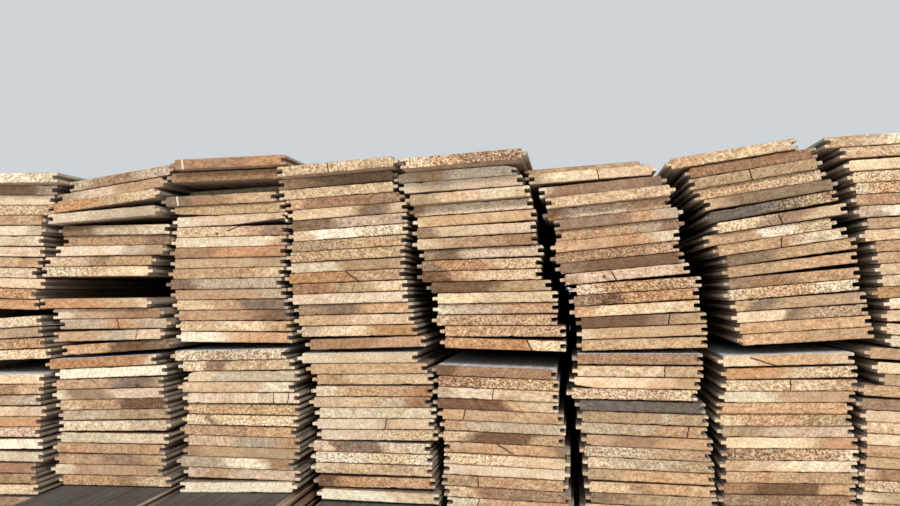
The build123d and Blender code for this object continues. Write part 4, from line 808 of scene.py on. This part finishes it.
# ---------------------------------------------------------------- materials
class Net:
    """Short names for building a node tree."""
    def __init__(self, name):
        self.mat = bpy.data.materials.new(name)
        self.mat.use_nodes = True
        self.t = self.mat.node_tree
        self.t.nodes.clear()
        self.out = self.t.nodes.new("ShaderNodeOutputMaterial")
        self.bsdf = self.t.nodes.new("ShaderNodeBsdfPrincipled")
        self.t.links.new(self.bsdf.outputs[0], self.out.inputs[0])

    def put(self, socket, value):
        if isinstance(value, bpy.types.NodeSocket):
            self.t.links.new(value, socket)
        elif value is not None:
            if hasattr(socket.default_value, "__len__") and not hasattr(value, "__len__"):
                value = (value,) * len(socket.default_value)
            if hasattr(socket.default_value, "__len__") and len(value) == 3 and len(socket.default_value) == 4:
                value = (*value, 1.0)
            socket.default_value = value

    def m(self, op, a, b=None, c=None, clamp=False):
        n = self.t.nodes.new("ShaderNodeMath")
        n.operation = op
        n.use_clamp = clamp
        for s, v in zip(n.inputs, (a, b, c)):
            self.put(s, v)
        return n.outputs[0]

    def v(self, op, a, b=None, scale=None):
        n = self.t.nodes.new("ShaderNodeVectorMath")
        n.operation = op
        self.put(n.inputs[0], a)
        if b is not None:
            self.put(n.inputs[1], b)
        if scale is not None:
            self.put(n.inputs["Scale"], scale)
        return n.outputs["Value"] if op in ("LENGTH", "DOT_PRODUCT", "DISTANCE") else n.outputs["Vector"]

    def attr(self, name):
        n = self.t.nodes.new("ShaderNodeAttribute")
        n.attribute_name = name
        return n.outputs["Vector"]

    def sep(self, a):
        n = self.t.nodes.new("ShaderNodeSeparateXYZ")
        self.put(n.inputs[0], a)
        return n.outputs[0], n.outputs[1], n.outputs[2]

    def xyz(self, x=0.0, y=0.0, z=0.0):
        n = self.t.nodes.new("ShaderNodeCombineXYZ")
        for s, v in zip(n.inputs, (x, y, z)):
            self.put(s, v)
        return n.outputs[0]

    def noise(self, vec, scale=1.0, detail=2.0, rough=0.5, bend=0.0, colour=False):
        n = self.t.nodes.new("ShaderNodeTexNoise")
        n.noise_dimensions = "3D"
        self.put(n.inputs["Vector"], vec)
        self.put(n.inputs["Scale"], scale)
        self.put(n.inputs["Detail"], detail)
        self.put(n.inputs["Roughness"], rough)
        self.put(n.inputs["Distortion"], bend)
        return n.outputs["Color" if colour else "Fac"]

    def cells(self, vec, scale=1.0, feature="F1", what="Distance", jitter=1.0):
        n = self.t.nodes.new("ShaderNodeTexVoronoi")
        n.feature = feature
        self.put(n.inputs["Vector"], vec)
        self.put(n.inputs["Scale"], scale)
        if "Randomness" in n.inputs:
            self.put(n.inputs["Randomness"], jitter)
        return n.outputs[what]

    def span(self, x, a, b, c=0.0, d=1.0, kind="SMOOTHSTEP"):
        n = self.t.nodes.new("ShaderNodeMapRange")
        n.interpolation_type = kind
        n.clamp = True
        for s, v in zip(("Value", "From Min", "From Max", "To Min", "To Max"), (x, a, b, c, d)):
            self.put(n.inputs[s], v)
        return n.outputs[0]

    def mix(self, f, a, b, blend="MIX"):
        n = self.t.nodes.new("ShaderNodeMix")
        n.data_type = "RGBA"
        n.blend_type = blend
        n.clamp_factor = True
        ins = [s for s in n.inputs if s.type == "RGBA"]
        self.put(n.inputs[0], f)
        self.put(ins[0], a)
        self.put(ins[1], b)
        return [s for s in n.outputs if s.type == "RGBA"][0]

    def tint(self, base, factor, colour):
        """base times colour, by factor"""
        return self.mix(factor, base, colour, "MULTIPLY")

    def bump(self, height, distance, strength=1.0, normal=None):
        n = self.t.nodes.new("ShaderNodeBump")
        self.put(n.inputs["Height"], height)
        self.put(n.inputs["Strength"], strength)
        self.put(n.inputs["Distance"], distance)
        if normal is not None:
            self.put(n.inputs["Normal"], normal)
        return n.outputs[0]


def growth(g, p, u, v, y, pith, own, wide):
    """Growth rings about the board's pith: 0 in spring wood, 1 in the dark late wood."""
    pu, pv, contrast = g.sep(pith)
    _, figure, seed = g.sep(own)
    shift = g.xyz(seed, seed, seed)
    q = g.v("ADD", g.xyz(g.m("MULTIPLY", u, 1 / 26), g.m("MULTIPLY", v, 1 / 26), g.m("MULTIPLY", y, 1 / 420)), shift)
    w = g.noise(q, 1.0, 2.0, 0.5, 0.0, True)
    w = g.v("SUBTRACT", w, (0.5, 0.5, 0.5))
    wu, wv, _ = g.sep(w)
    amount = g.m("MULTIPLY_ADD", figure, wide, 5.0)
    du = g.m("SUBTRACT", g.m("MULTIPLY_ADD", wu, amount, u), pu)
    dv = g.m("SUBTRACT", g.m("MULTIPLY_ADD", wv, amount, v), pv)
    r = g.m("SQRT", g.m("ADD", g.m("MULTIPLY", du, du), g.m("MULTIPLY", dv, dv)))
    spacing = g.span(g.m("FRACT", g.m("MULTIPLY", seed, 3.7)), 0, 1, 2.1, 4.4, "LINEAR")
    turn = g.m("DIVIDE", r, spacing)
    uneven = g.noise(g.xyz(g.m("MULTIPLY", turn, 0.45), seed, 0.0), 1.0, 1.0)
    turn = g.m("MULTIPLY_ADD", uneven, 2.6, turn)
    f = g.m("FRACT", turn)
    late = g.m("MULTIPLY", g.span(f, 0.38, 0.86), g.span(f, 1.0, 0.93))
    # where the pith itself shows, the rings fade out around it
    late = g.m("MULTIPLY", late, g.m("MAXIMUM", g.span(r, 46.0, 22.0), g.span(contrast, 0.62, 0.5)))
    return late, contrast


def end_grain():
    g = Net("sawn end grain")
    at, own, pith, torn = g.attr("at"), g.attr("own"), g.attr("pith"), g.attr("torn")
    u, v, y = g.sep(at)
    scratch, figure, seed = g.sep(own)
    _, _, width = g.sep(g.attr("worn"))
    shift = g.xyz(g.m("MULTIPLY", seed, 13.7), g.m("MULTIPLY", seed, 7.1), seed)
    p = g.v("ADD", g.xyz(u, v, g.m("MULTIPLY", y, 0.02)), shift)
    b1, b2, soft = g.sep(g.attr("stain"))
    calm, _, _ = g.sep(g.attr("uneven"))
    r1 = g.m("FRACT", g.m("MULTIPLY", seed, 5.3))
    r2 = g.m("FRACT", g.m("MULTIPLY", seed, 9.7))
    r3 = g.m("FRACT", g.m("MULTIPLY", seed, 15.1))

    # tones from left to right, melting into each other in leaning mottled borders
    w = g.noise(p, 1 / 15, 3.0, 0.6)
    w2 = g.noise(p, 1 / 4.2, 3.0, 0.65)
    lean = g.span(r1, 0, 1, -1.4, 1.4, "LINEAR")
    uu = g.m("MULTIPLY_ADD", g.m("SUBTRACT", w, 0.5), 22.0, g.m("MULTIPLY_ADD", v, lean, u))
    uu = g.m("MULTIPLY_ADD", g.m("SUBTRACT", w2, 0.5), 13.0, uu)
    f1 = g.span(g.m("SUBTRACT", uu, b1), g.m("MULTIPLY", soft, -1.0), soft)
    f2 = g.span(g.m("SUBTRACT", uu, b2), g.m("MULTIPLY", soft, -1.0), soft)
    col = g.mix(f2, g.mix(f1, g.attr("tone1"), g.attr("tone2")), g.attr("tone3"))

    # broad uneven colour: warm heartwood hazes, bleached patches and greyed ones
    haze = g.noise(g.v("MULTIPLY", p, (1 / 30, 1 / 11, 1)), 1.0, 3.0, 0.55)
    col = g.tint(col, g.span(haze, 0.50, 0.74, 0.0, 0.60), (0.88, 0.73, 0.60))
    col = g.tint(col, g.span(haze, 0.47, 0.26, 0.0, 0.80), (1.14, 1.19, 1.25))
    grey = g.noise(g.v("MULTIPLY", p, (1 / 21, 1 / 8, 1)), 1.0, 3.0, 0.6)
    col = g.tint(col, g.m("MULTIPLY", g.span(grey, 0.54, 0.72, 0.0, 0.66), calm), (0.73, 0.73, 0.73))
    mottle = g.noise(g.v("MULTIPLY", p, (1 / 6.5, 1 / 4.0, 1)), 1.0, 3.0, 0.62, 0.3)
    col = g.tint(col, g.m("MULTIPLY", g.span(mottle, 0.49, 0.66, 0.0, 0.76), calm), (0.71, 0.64, 0.57))
    col = g.tint(col, g.m("MULTIPLY", g.span(mottle, 0.49, 0.33, 0.0, 0.92), calm), (1.26, 1.28, 1.29))

    # growth rings
    late, contrast = growth(g, p, u, v, y, pith, own, 9.0)
    col = g.tint(col, g.m("MULTIPLY", late, contrast), (0.62, 0.43, 0.28))

    # fine streaks down the end, along the rays
    swept = g.v("ADD", g.xyz(g.m("MULTIPLY_ADD", v, g.span(r3, 0, 1, -1.3, 1.3, "LINEAR"), u), v, 0.0), shift)
    rays = g.noise(g.v("MULTIPLY", swept, (0.36, 0.035, 1)), 1.0, 2.0, 0.6)
    drawn = g.span(r2, 0, 1, 0.15, 0.95, "LINEAR")
    col = g.tint(col, g.m("MULTIPLY", g.span(rays, 0.48, 0.66), g.m("MULTIPLY", drawn, 0.52)), (0.66, 0.55, 0.46))
    col = g.tint(col, g.m("MULTIPLY", g.span(rays, 0.46, 0.30), g.m("MULTIPLY", drawn, 0.70)), (1.28, 1.29, 1.27))

    # fibres torn by the saw: pale and dark flecks
    sl, sr, hatch = g.sep(torn)
    side = g.span(uu, 52.0, 96.0)
    speck = g.m("ADD", g.m("MULTIPLY", sl, g.m("SUBTRACT", 1.0, side)), g.m("MULTIPLY", sr, side))
    tilt_p = g.xyz(g.m("MULTIPLY_ADD", v, g.span(r3, 0, 1, -0.7, 0.7, "LINEAR"), u), v, 0.0)
    tp = g.v("ADD", tilt_p, shift)
    fl = g.noise(g.v("MULTIPLY", tp, (0.40, 0.40, 1)), 1.0, 3.0, 0.70, 0.25)
    dark = g.span(fl, 0.485, 0.40)
    light = g.span(fl, 0.515, 0.60)
    col = g.tint(col, g.m("MULTIPLY", dark, speck, clamp=True), (0.50, 0.35, 0.23))
    col = g.tint(col, g.m("MULTIPLY", light, g.m("MULTIPLY", speck, 0.9), clamp=True), (1.46, 1.44, 1.34))
    col = g.mix(g.m("MULTIPLY", light, g.m("MULTIPLY", g.m("SUBTRACT", speck, 0.5), 0.7), clamp=True), col, (0.92, 0.82, 0.62))
    fine = g.noise(p, 0.80, 3.0, 0.68)
    col = g.tint(col, g.span(fine, 0.50, 0.35, 0.0, 0.72), (0.58, 0.48, 0.39))
    col = g.tint(col, g.span(fine, 0.51, 0.65, 0.0, 0.85), (1.28, 1.28, 1.26))

    # saw lines, along and down the end
    runs = g.noise(g.v("MULTIPLY", p, (1 / 22, 0.7, 1)), 1.0, 2.0, 0.5)
    col = g.tint(col, g.span(runs, 0.52, 0.70, 0.0, 0.34), (0.70, 0.60, 0.52))
    slant = g.m("MULTIPLY_ADD", v, 0.22, u)
    lines = g.noise(g.xyz(g.m("MULTIPLY", slant, 0.62), g.m("MULTIPLY", v, 0.05), seed), 1.0, 2.0, 0.5)
    scored = g.span(lines, 0.50, 0.62)
    col = g.tint(col, g.m("MULTIPLY", scored, g.m("MULTIPLY", hatch, 0.60)), (0.50, 0.45, 0.42))

    # the thin tongue and lips are painted lighter, a painted highlight on the tips
    thin = g.m("MINIMUM", u, g.m("SUBTRACT", width, u))
    thin = g.m("MULTIPLY_ADD", g.m("SUBTRACT", w2, 0.5), 5.0, thin)
    col = g.mix(g.m("MULTIPLY", g.span(thin, 7.5, 1.5), g.span(r2, 0, 1, 0.0, 0.35, "LINEAR")), col, (0.86, 0.78, 0.65))

    # a rubbed pale scratch
    near = g.m("ABSOLUTE", g.m("SUBTRACT", g.m("MULTIPLY_ADD", v, 0.12, u), scratch))
    col = g.mix(g.span(near, 1.5, 0.5, 0.0, 0.8), col, (0.90, 0.80, 0.66))

    # a knot with its ring of dark bark
    ku, kv, kr = g.sep(g.attr("knot"))
    kd = g.m("SQRT", g.m("ADD", g.m("POWER", g.m("SUBTRACT", u, ku), 2.0), g.m("POWER", g.m("SUBTRACT", v, kv), 2.0)))
    kd = g.m("DIVIDE", g.m("MULTIPLY_ADD", g.m("SUBTRACT", w2, 0.5), 1.4, kd), kr)
    knotty = g.span(kd, 1.3, 0.7)
    col = g.tint(col, g.span(kd, 2.8, 1.0, 0.0, 0.6), (0.72, 0.50, 0.34))
    col = g.mix(g.m("MULTIPLY", knotty, 0.9), col, (0.075, 0.048, 0.034))

    # a slanting drying split, painted near black: painted shade in the opening
    sa, sb = g.attr("split_a"), g.attr("split_b")
    flat = g.xyz(u, g.m("MULTIPLY_ADD", g.m("SUBTRACT", w2, 0.5), 2.2, v), 0.0)
    ab = g.v("SUBTRACT", sb, sa)
    ap = g.v("SUBTRACT", flat, sa)
    h = g.m("DIVIDE", g.v("DOT_PRODUCT", ap, ab), g.v("DOT_PRODUCT", ab, ab), clamp=True)
    off = g.v("LENGTH", g.v("SUBTRACT", ap, g.v("SCALE", ab, scale=h)))
    splitting = g.span(off, 1.10, 0.45)
    col = g.mix(g.m("MULTIPLY", splitting, 0.88), col, (0.040, 0.026, 0.018))

    # the cracks are painted dark by their depth behind the end, painted shade inside the recess
    crack_depth_shade = g.m("MULTIPLY", g.span(y, 1.1, 2.3), g.m("LESS_THAN", y, 1500.0))
    col = g.mix(g.m("MULTIPLY", crack_depth_shade, 0.85), col, (0.060, 0.038, 0.027))

    # darker along the arrises, more along the lower one: partly grime and torn fibres, partly painted shade in the
    # joints between boards
    low = g.m("MULTIPLY_ADD", g.m("SUBTRACT", w2, 0.5), 1.8, v)
    rim_grime_and_shade = g.m("MAXIMUM", g.span(low, -4.3, -6.0, 0.0, 0.75), g.span(low, 4.9, 6.2, 0.0, 0.5))
    rim_grime_and_shade = g.m("MULTIPLY", rim_grime_and_shade, g.span(g.noise(p, 1 / 9, 2.0), 0.30, 0.66, 0.25, 1.0))
    col = g.tint(col, rim_grime_and_shade, (0.46, 0.34, 0.25))
    col = g.v("MINIMUM", col, (0.93, 0.92, 0.88))
    g.put(g.bsdf.inputs["Base Color"], col)

    height = g.m("MULTIPLY", g.m("SUBTRACT", fl, 0.5), g.m("MULTIPLY_ADD", speck, 2.2, 0.35))
    height = g.m("MULTIPLY_ADD", fine, 0.30, height)
    height = g.m("MULTIPLY_ADD", runs, 0.30, height)
    height = g.m("MULTIPLY_ADD", rays, 0.30, height)
    height = g.m("MULTIPLY_ADD", scored, g.m("MULTIPLY", hatch, -0.35), height)
    height = g.m("MULTIPLY_ADD", splitting, -1.5, height)
    height = g.m("MULTIPLY_ADD", knotty, -0.9, height)
    g.put(g.bsdf.inputs["Normal"], g.bump(height, 0.0008, 0.9))
    g.put(g.bsdf.inputs["Roughness"], g.span(fine, 0.2, 0.8, 0.78, 0.95))
    g.bsdf.inputs["Specular IOR Level"].default_value = 0.20
    return g.mat


def board_faces():
    g = Net("planed board faces")
    at, own, pith = g.attr("at"), g.attr("own"), g.attr("pith")
    u, v, y = g.sep(at)
    _, figure, seed = g.sep(own)
    worn, slate, width = g.sep(g.attr("worn"))
    shift = g.xyz(g.m("MULTIPLY", seed, 13.7), g.m("MULTIPLY", seed, 7.1), g.m("MULTIPLY", seed, 91.0))
    p = g.v("ADD", g.xyz(u, v, y), shift)
    r1 = g.m("FRACT", g.m("MULTIPLY", seed, 6.1))
    r2 = g.m("FRACT", g.m("MULTIPLY", seed, 11.9))

    fresh = g.mix(0.5, g.attr("tone1"), g.attr("tone2"))
    fresh = g.tint(fresh, 0.60, (0.76, 0.64, 0.52))
    late, contrast = growth(g, p, u, v, y, pith, own, 16.0)
    grain = g.noise(g.v("MULTIPLY", p, (0.16, 0.30, 1 / 240)), 1.0, 4.0, 0.62, 0.4)
    fibre = g.noise(g.v("MULTIPLY", p, (1.3, 1.3, 1 / 60)), 1.0, 2.0, 0.6)
    fresh = g.tint(fresh, g.m("MULTIPLY", late, 0.60), (0.70, 0.47, 0.30))
    fresh = g.tint(fresh, g.span(grain, 0.46, 0.68, 0.0, 0.55), (0.68, 0.52, 0.40))

    # knots: a few ovals along each broad face
    cell = g.v("MULTIPLY", g.v("ADD", p, g.xyz(0.0, 0.0, g.m("MULTIPLY", g.m("SIGN", v), 977.0))), (1 / 92, 0.0, 1 / 460))
    kd = g.cells(cell, 1.0)
    kc = g.cells(cell, 1.0, "F1", "Color")
    pick, size, _ = g.sep(kc)
    rad = g.span(size, 0, 1, 0.030, 0.085, "LINEAR")
    kk = g.m("DIVIDE", g.m("MULTIPLY_ADD", g.m("SUBTRACT", grain, 0.5), 0.04, kd), rad)
    shown = g.m("GREATER_THAN", pick, 0.45)
    knot = g.m("MULTIPLY", g.span(kk, 1.1, 0.85), shown)
    halo = g.m("MULTIPLY", g.span(kk, 2.6, 1.0), shown)

    silver = g.mix(g.span(grain, 0.30, 0.70), (0.42, 0.395, 0.35), (0.235, 0.205, 0.175))
    silver = g.tint(silver, g.m("MULTIPLY", late, 0.45), (0.66, 0.58, 0.50))
    silver = g.mix(g.span(g.noise(g.v("MULTIPLY", p, (1 / 40, 1 / 14, 1 / 420)), 1.0, 3.0), 0.46, 0.66, 0.0, 0.55), silver, (0.30, 0.235, 0.17))
    blotch = g.noise(g.v("MULTIPLY", p, (1 / 75, 1 / 30, 1 / 520)), 1.0, 3.0, 0.6)
    weather = g.m("MULTIPLY", worn, g.span(blotch, 0.34, 0.60, 0.45, 1.0))
    col = g.mix(weather, fresh, silver)
    col = g.tint(col, g.m("MULTIPLY", halo, 0.55), (0.66, 0.46, 0.32))
    col = g.mix(g.m("MULTIPLY", knot, 0.80), col, (0.110, 0.066, 0.042))

    # rain marks and dust in long soft drifts
    rain = g.noise(g.v("MULTIPLY", p, (1 / 24, 1 / 24, 1 / 110)), 1.0, 4.0, 0.6)
    col = g.tint(col, g.span(rain, 0.54, 0.70, 0.0, 0.40), (0.70, 0.68, 0.66))
    col = g.mix(g.span(rain, 0.44, 0.30, 0.0, 0.28), col, (0.55, 0.50, 0.43))

    # upper faces near the ends are painted a darker slate grey; undersides near the ends are painted a lighter warm
    # brown, painted bounce light
    near_end = g.span(g.m("MINIMUM", y, g.m("SUBTRACT", 3010.0, y)), 170.0, 20.0)
    over = g.span(v, 4.6, 5.7)
    under = g.span(v, -4.6, -5.7)
    grey = g.mix(g.span(grain, 0.3, 0.7), (0.26, 0.25, 0.235), (0.165, 0.155, 0.145))
    col = g.mix(g.m("MULTIPLY", over, g.m("MULTIPLY", near_end, 0.40)), col, grey)
    # the upper faces of the boards that lie open in the gaps: pale sky blue near their ends, painted skylight, giving
    # way to grey further in; the bottom boards' tops are painted a dark slate grey
    bared = g.span(slate, 0.55, 0.95, 0.0, 1.0)
    pale = g.mix(g.span(grain, 0.3, 0.7), (0.78, 0.88, 0.96), (0.68, 0.76, 0.84))
    deep = g.mix(g.span(grain, 0.3, 0.7), (0.088, 0.088, 0.092), (0.042, 0.042, 0.045))
    deep = g.mix(g.span(rain, 0.54, 0.72, 0.0, 0.55), deep, (0.145, 0.115, 0.09))
    deep = g.mix(bared, deep, g.mix(g.span(grain, 0.3, 0.7), (0.56, 0.57, 0.59), (0.44, 0.445, 0.455)))
    reach = g.m("MULTIPLY_ADD", g.m("SUBTRACT", rain, 0.5), 50.0, g.m("MINIMUM", y, g.m("SUBTRACT", 3010.0, y)))
    open_top_painted_skylight = g.mix(g.m("MULTIPLY", g.span(reach, 240.0, 80.0), bared), deep, pale)
    col = g.mix(g.m("MULTIPLY", over, g.span(slate, 0.1, 0.5, 0.0, 0.92)), col, open_top_painted_skylight)
    # undersides near the ends: a lighter warm brown, painted bounce light
    col = g.mix(g.m("MULTIPLY", under, g.m("MULTIPLY", near_end, 0.75)), col, g.mix(g.span(grain, 0.3, 0.7), (0.66, 0.48, 0.36), (0.50, 0.35, 0.255)))
    # the side faces near the sawn ends are painted lighter, painted light that fades deeper into the clefts, with dark
    # drip marks
    edge = g.m("MULTIPLY", g.m("SUBTRACT", 1.0, over), g.m("SUBTRACT", 1.0, under))
    painted_side_light = g.m("MULTIPLY", g.m("MULTIPLY", edge, near_end), g.span(r1, 0, 1, 0.35, 0.9, "LINEAR"))
    col = g.mix(painted_side_light, col, g.mix(g.span(fibre, 0.3, 0.7), (0.71, 0.64, 0.54), (0.52, 0.455, 0.38)))
    drip = g.span(g.noise(g.v("MULTIPLY", p, (1 / 8, 1 / 8, 1 / 22)), 1.0, 2.0), 0.42, 0.62, 0.0, 0.55)
    col = g.tint(col, g.m("MULTIPLY", near_end, drip), (0.66, 0.59, 0.53))
    col = g.tint(col, g.span(fibre, 0.52, 0.32, 0.0, 0.40), (0.62, 0.56, 0.50))
    # right behind the sawn ends the fibres are darker and warmer
    lip = g.span(g.m("MINIMUM", y, g.m("SUBTRACT", 3010.0, y)), 5.0, 1.0)
    lip = g.m("MULTIPLY", lip, g.m("SUBTRACT", 1.0, g.m("MULTIPLY", over, g.span(slate, 0.1, 0.5))))
    col = g.mix(g.m("MULTIPLY", lip, 0.85), col, g.tint(g.attr("tone2"), 1.0, (0.46, 0.33, 0.25)))
    g.put(g.bsdf.inputs["Base Color"], col)
    height = g.m("MULTIPLY", late, 0.5)
    height = g.m("MULTIPLY_ADD", fibre, 0.6, height)
    height = g.m("MULTIPLY_ADD", grain, 0.5, height)
    g.put(g.bsdf.inputs["Normal"], g.bump(height, 0.0005, 0.8))
    g.put(g.bsdf.inputs["Roughness"], g.span(fibre, 0.2, 0.8, 0.62, 0.85))
    g.bsdf.inputs["Specular IOR Level"].default_value = 0.30
    return g.mat


def lath_wood():
    g = Net("rough sawn lath")
    u, v, y = g.sep(g.attr("at"))
    p = g.xyz(u, v, y)
    grain = g.noise(g.v("MULTIPLY", p, (1 / 90, 0.35, 0.35)), 1.0, 4.0, 0.6)
    saw = g.noise(g.v("MULTIPLY", p, (0.45, 0.04, 0.06)), 1.0, 2.0, 0.5)
    col = g.mix(g.span(grain, 0.3, 0.7), (0.17, 0.12, 0.08), (0.33, 0.25, 0.17))
    col = g.tint(col, g.span(saw, 0.5, 0.65, 0.0, 0.5), (0.62, 0.55, 0.5))
    g.put(g.bsdf.inputs["Base Color"], col)
    g.put(g.bsdf.inputs["Normal"], g.bump(g.m("ADD", grain, g.m("MULTIPLY", saw, 0.7)), 0.0006, 0.7))
    g.put(g.bsdf.inputs["Roughness"], g.span(grain, 0.3, 0.7, 0.8, 0.95))
    g.bsdf.inputs["Specular IOR Level"].default_value = 0.25
    return g.mat


# ---------------------------------------------------------------- the stack
FACES_MAT, ENDS_MAT = board_faces(), end_grain()
for n, (node, rows) in enumerate(BOARDS.items()):
    piece = stack(node.replace("_boards", "_board_stack"), rows, 11 + n, (n % 3 > 0, n % 3 < 2))
    piece.data.materials.append(FACES_MAT)
    piece.data.materials.append(ENDS_MAT)
    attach(piece, "root")
    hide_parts(node)


def laths():
    """Rough laths in the open gaps: across a column, or along it under the outer edge of column 1."""
    verts, faces, at = [], [], []
    rng = np.random.default_rng(5)
    for x, z, tilt, high, wide, y0, y1 in LATHS:
        t = math.radians(tilt)
        along_y = y1 - y0 > wide
        # the section is (side, height); s runs along the grain
        long, side = (y1 - y0, wide) if along_y else (wide, y1 - y0)
        e = min(1.6, high * 0.16)
        a, b = side / 2, high / 2
        prof = [(-a + e, -b), (-a * 0.4, -b), (a * 0.4, -b), (a - e, -b), (a - e * 0.3, -b + e * 0.3), (a, -b + e), (a, b - e), (a - e * 0.3, b - e * 0.3),
                (a - e, b), (a * 0.4, b), (-a * 0.4, b), (-a + e, b), (-a + e * 0.3, b - e * 0.3), (-a, b - e), (-a, -b + e), (-a + e * 0.3, -b + e * 0.3)]
        steps = np.concatenate([[-long / 2, -long / 2 + 0.8, -long / 2 + 3], np.linspace(-long / 2 + 9, long / 2 - 9, 41 if along_y else 13),
                                [long / 2 - 3, long / 2 - 0.8, long / 2]])
        base = len(verts)
        m = len(prof)
        for k, s in enumerate(steps):
            shrink = 0.6 if k in (0, len(steps) - 1) else 0.0
            for pa, pz in prof:
                ja, jz = rng.uniform(0.0, 0.35), rng.uniform(0.0, min(0.3, high * 0.04))
                aa = pa - math.copysign(shrink + ja, pa)
                zz = pz - math.copysign(min(shrink, high * 0.1) + jz, pz)
                across, deep = (aa, s) if along_y else (s, aa)
                verts.append(((x + across * math.cos(t) - zz * math.sin(t)) * MM, (FACE_Y + (y0 + y1) / 2 + deep) * MM,
                              (z + across * math.sin(t) + zz * math.cos(t)) * MM))
                at.append((s + x * 3.1 + y0, aa, zz))
        for k in range(len(steps) - 1):
            for i in range(m):
                j = (i + 1) % m
                q = (base + k * m + i, base + k * m + j, base + (k + 1) * m + j, base + (k + 1) * m + i)
                faces.append(tuple(reversed(q)) if along_y else q)
        first = tuple(base + i for i in range(m))
        last = tuple(base + (len(steps) - 1) * m + i for i in range(m))
        faces.append(first if along_y else tuple(reversed(first)))
        faces.append(tuple(reversed(last)) if along_y else last)
    me = bpy.data.meshes.new("packing_lath_set")
    me.from_pydata(verts, [], faces)
    a = me.attributes.new("at", "FLOAT_VECTOR", "POINT")
    a.data.foreach_set("vector", np.array(at, np.float32).ravel())
    me.shade_smooth()
    me.set_sharp_from_angle(angle=math.radians(40))
    me.validate()
    ob = bpy.data.objects.new("packing_lath_set", me)
    bpy.context.scene.collection.objects.link(ob)
    ob.data.materials.append(lath_wood())
    return ob


piece = laths()
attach(piece, "root")
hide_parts("packing_laths")

# ---------------------------------------------------------------- floor, light and camera
def floor():
    me = bpy.data.meshes.new("studio_floor")
    n, r = 64, 40.0
    me.from_pydata([(0, 0, -0.0005)] + [(r * math.cos(2 * math.pi * k / n), r * math.sin(2 * math.pi * k / n), -0.0005) for k in range(n)],
                   [], [(0, 1 + k, 1 + (k + 1) % n) for k in range(n)])
    ob = bpy.data.objects.new("studio_floor", me)
    bpy.context.scene.collection.objects.link(ob)
    g = Net("studio floor")
    pos = g.t.nodes.new("ShaderNodeTexCoord").outputs["Object"]
    c = g.noise(pos, 0.6, 3.0)
    g.put(g.bsdf.inputs["Base Color"], g.mix(c, (0.76, 0.745, 0.72), (0.80, 0.785, 0.76)))
    g.bsdf.inputs["Roughness"].default_value = 0.85
    g.bsdf.inputs["Specular IOR Level"].default_value = 0.2
    me.materials.append(g.mat)


floor()

world = bpy.data.worlds.new("studio")
bpy.context.scene.world = world
world.use_nodes = True
back = world.node_tree.nodes["Background"]
back.inputs["Color"].default_value = (0.90, 0.95, 1.0, 1)
back.inputs["Strength"].default_value = 0.69

sun = bpy.data.lights.new("key", "SUN")
sun.energy = 1.98
sun.angle = math.radians(9)
sun.color = (1.0, 0.955, 0.89)
key = bpy.data.objects.new("key", sun)
bpy.context.scene.collection.objects.link(key)
elev, azim = math.radians(32), math.radians(18)   # from in front, to the right
to_light = Vector((math.sin(azim) * math.cos(elev), -math.cos(azim) * math.cos(elev), math.sin(elev)))
key.rotation_mode = "QUATERNION"
key.rotation_quaternion = to_light.to_track_quat("Z", "Y")
key.location = to_light * 5

# a broad soft fill from in front, low and to the left
soft = bpy.data.lights.new("fill", "SUN")
soft.energy = 0.75
soft.angle = math.radians(70)
soft.color = (1.0, 0.97, 0.93)
fill = bpy.data.objects.new("fill", soft)
bpy.context.scene.collection.objects.link(fill)
elev, azim = math.radians(12), math.radians(-20)
to_fill = Vector((math.sin(azim) * math.cos(elev), -math.cos(azim) * math.cos(elev), math.sin(elev)))
fill.rotation_mode = "QUATERNION"
fill.rotation_quaternion = to_fill.to_track_quat("Z", "Y")
fill.location = to_fill * 6

yaw, pitch = math.radians(7.7), math.atan(36 / 902)
right = Vector((math.cos(yaw), math.sin(yaw), 0))
ahead = Vector((-math.sin(yaw) * math.cos(pitch), math.cos(yaw) * math.cos(pitch), math.sin(pitch)))
upward = right.cross(ahead)
cam_data = bpy.data.cameras.new("camera")
cam_data.sensor_width = 36.0
cam_data.lens = 902 / 900 * 36.0
cam_data.clip_start, cam_data.clip_end = 0.01, 200.0
camera = bpy.data.objects.new("camera", cam_data)
bpy.context.scene.collection.objects.link(camera)
m = Matrix.Identity(4)
for k, axis in enumerate((right, upward, -ahead)):
    for r in range(3):
        m[r][k] = axis[r]
m.translation = Vector((160.4, -2504.2, 307.5)) * MM
camera.matrix_world = m
bpy.context.scene.camera = camera

view = bpy.context.scene.view_settings
view.view_transform = "Standard"
view.look = "None"
view.exposure = 0.0
view.gamma = 1.0
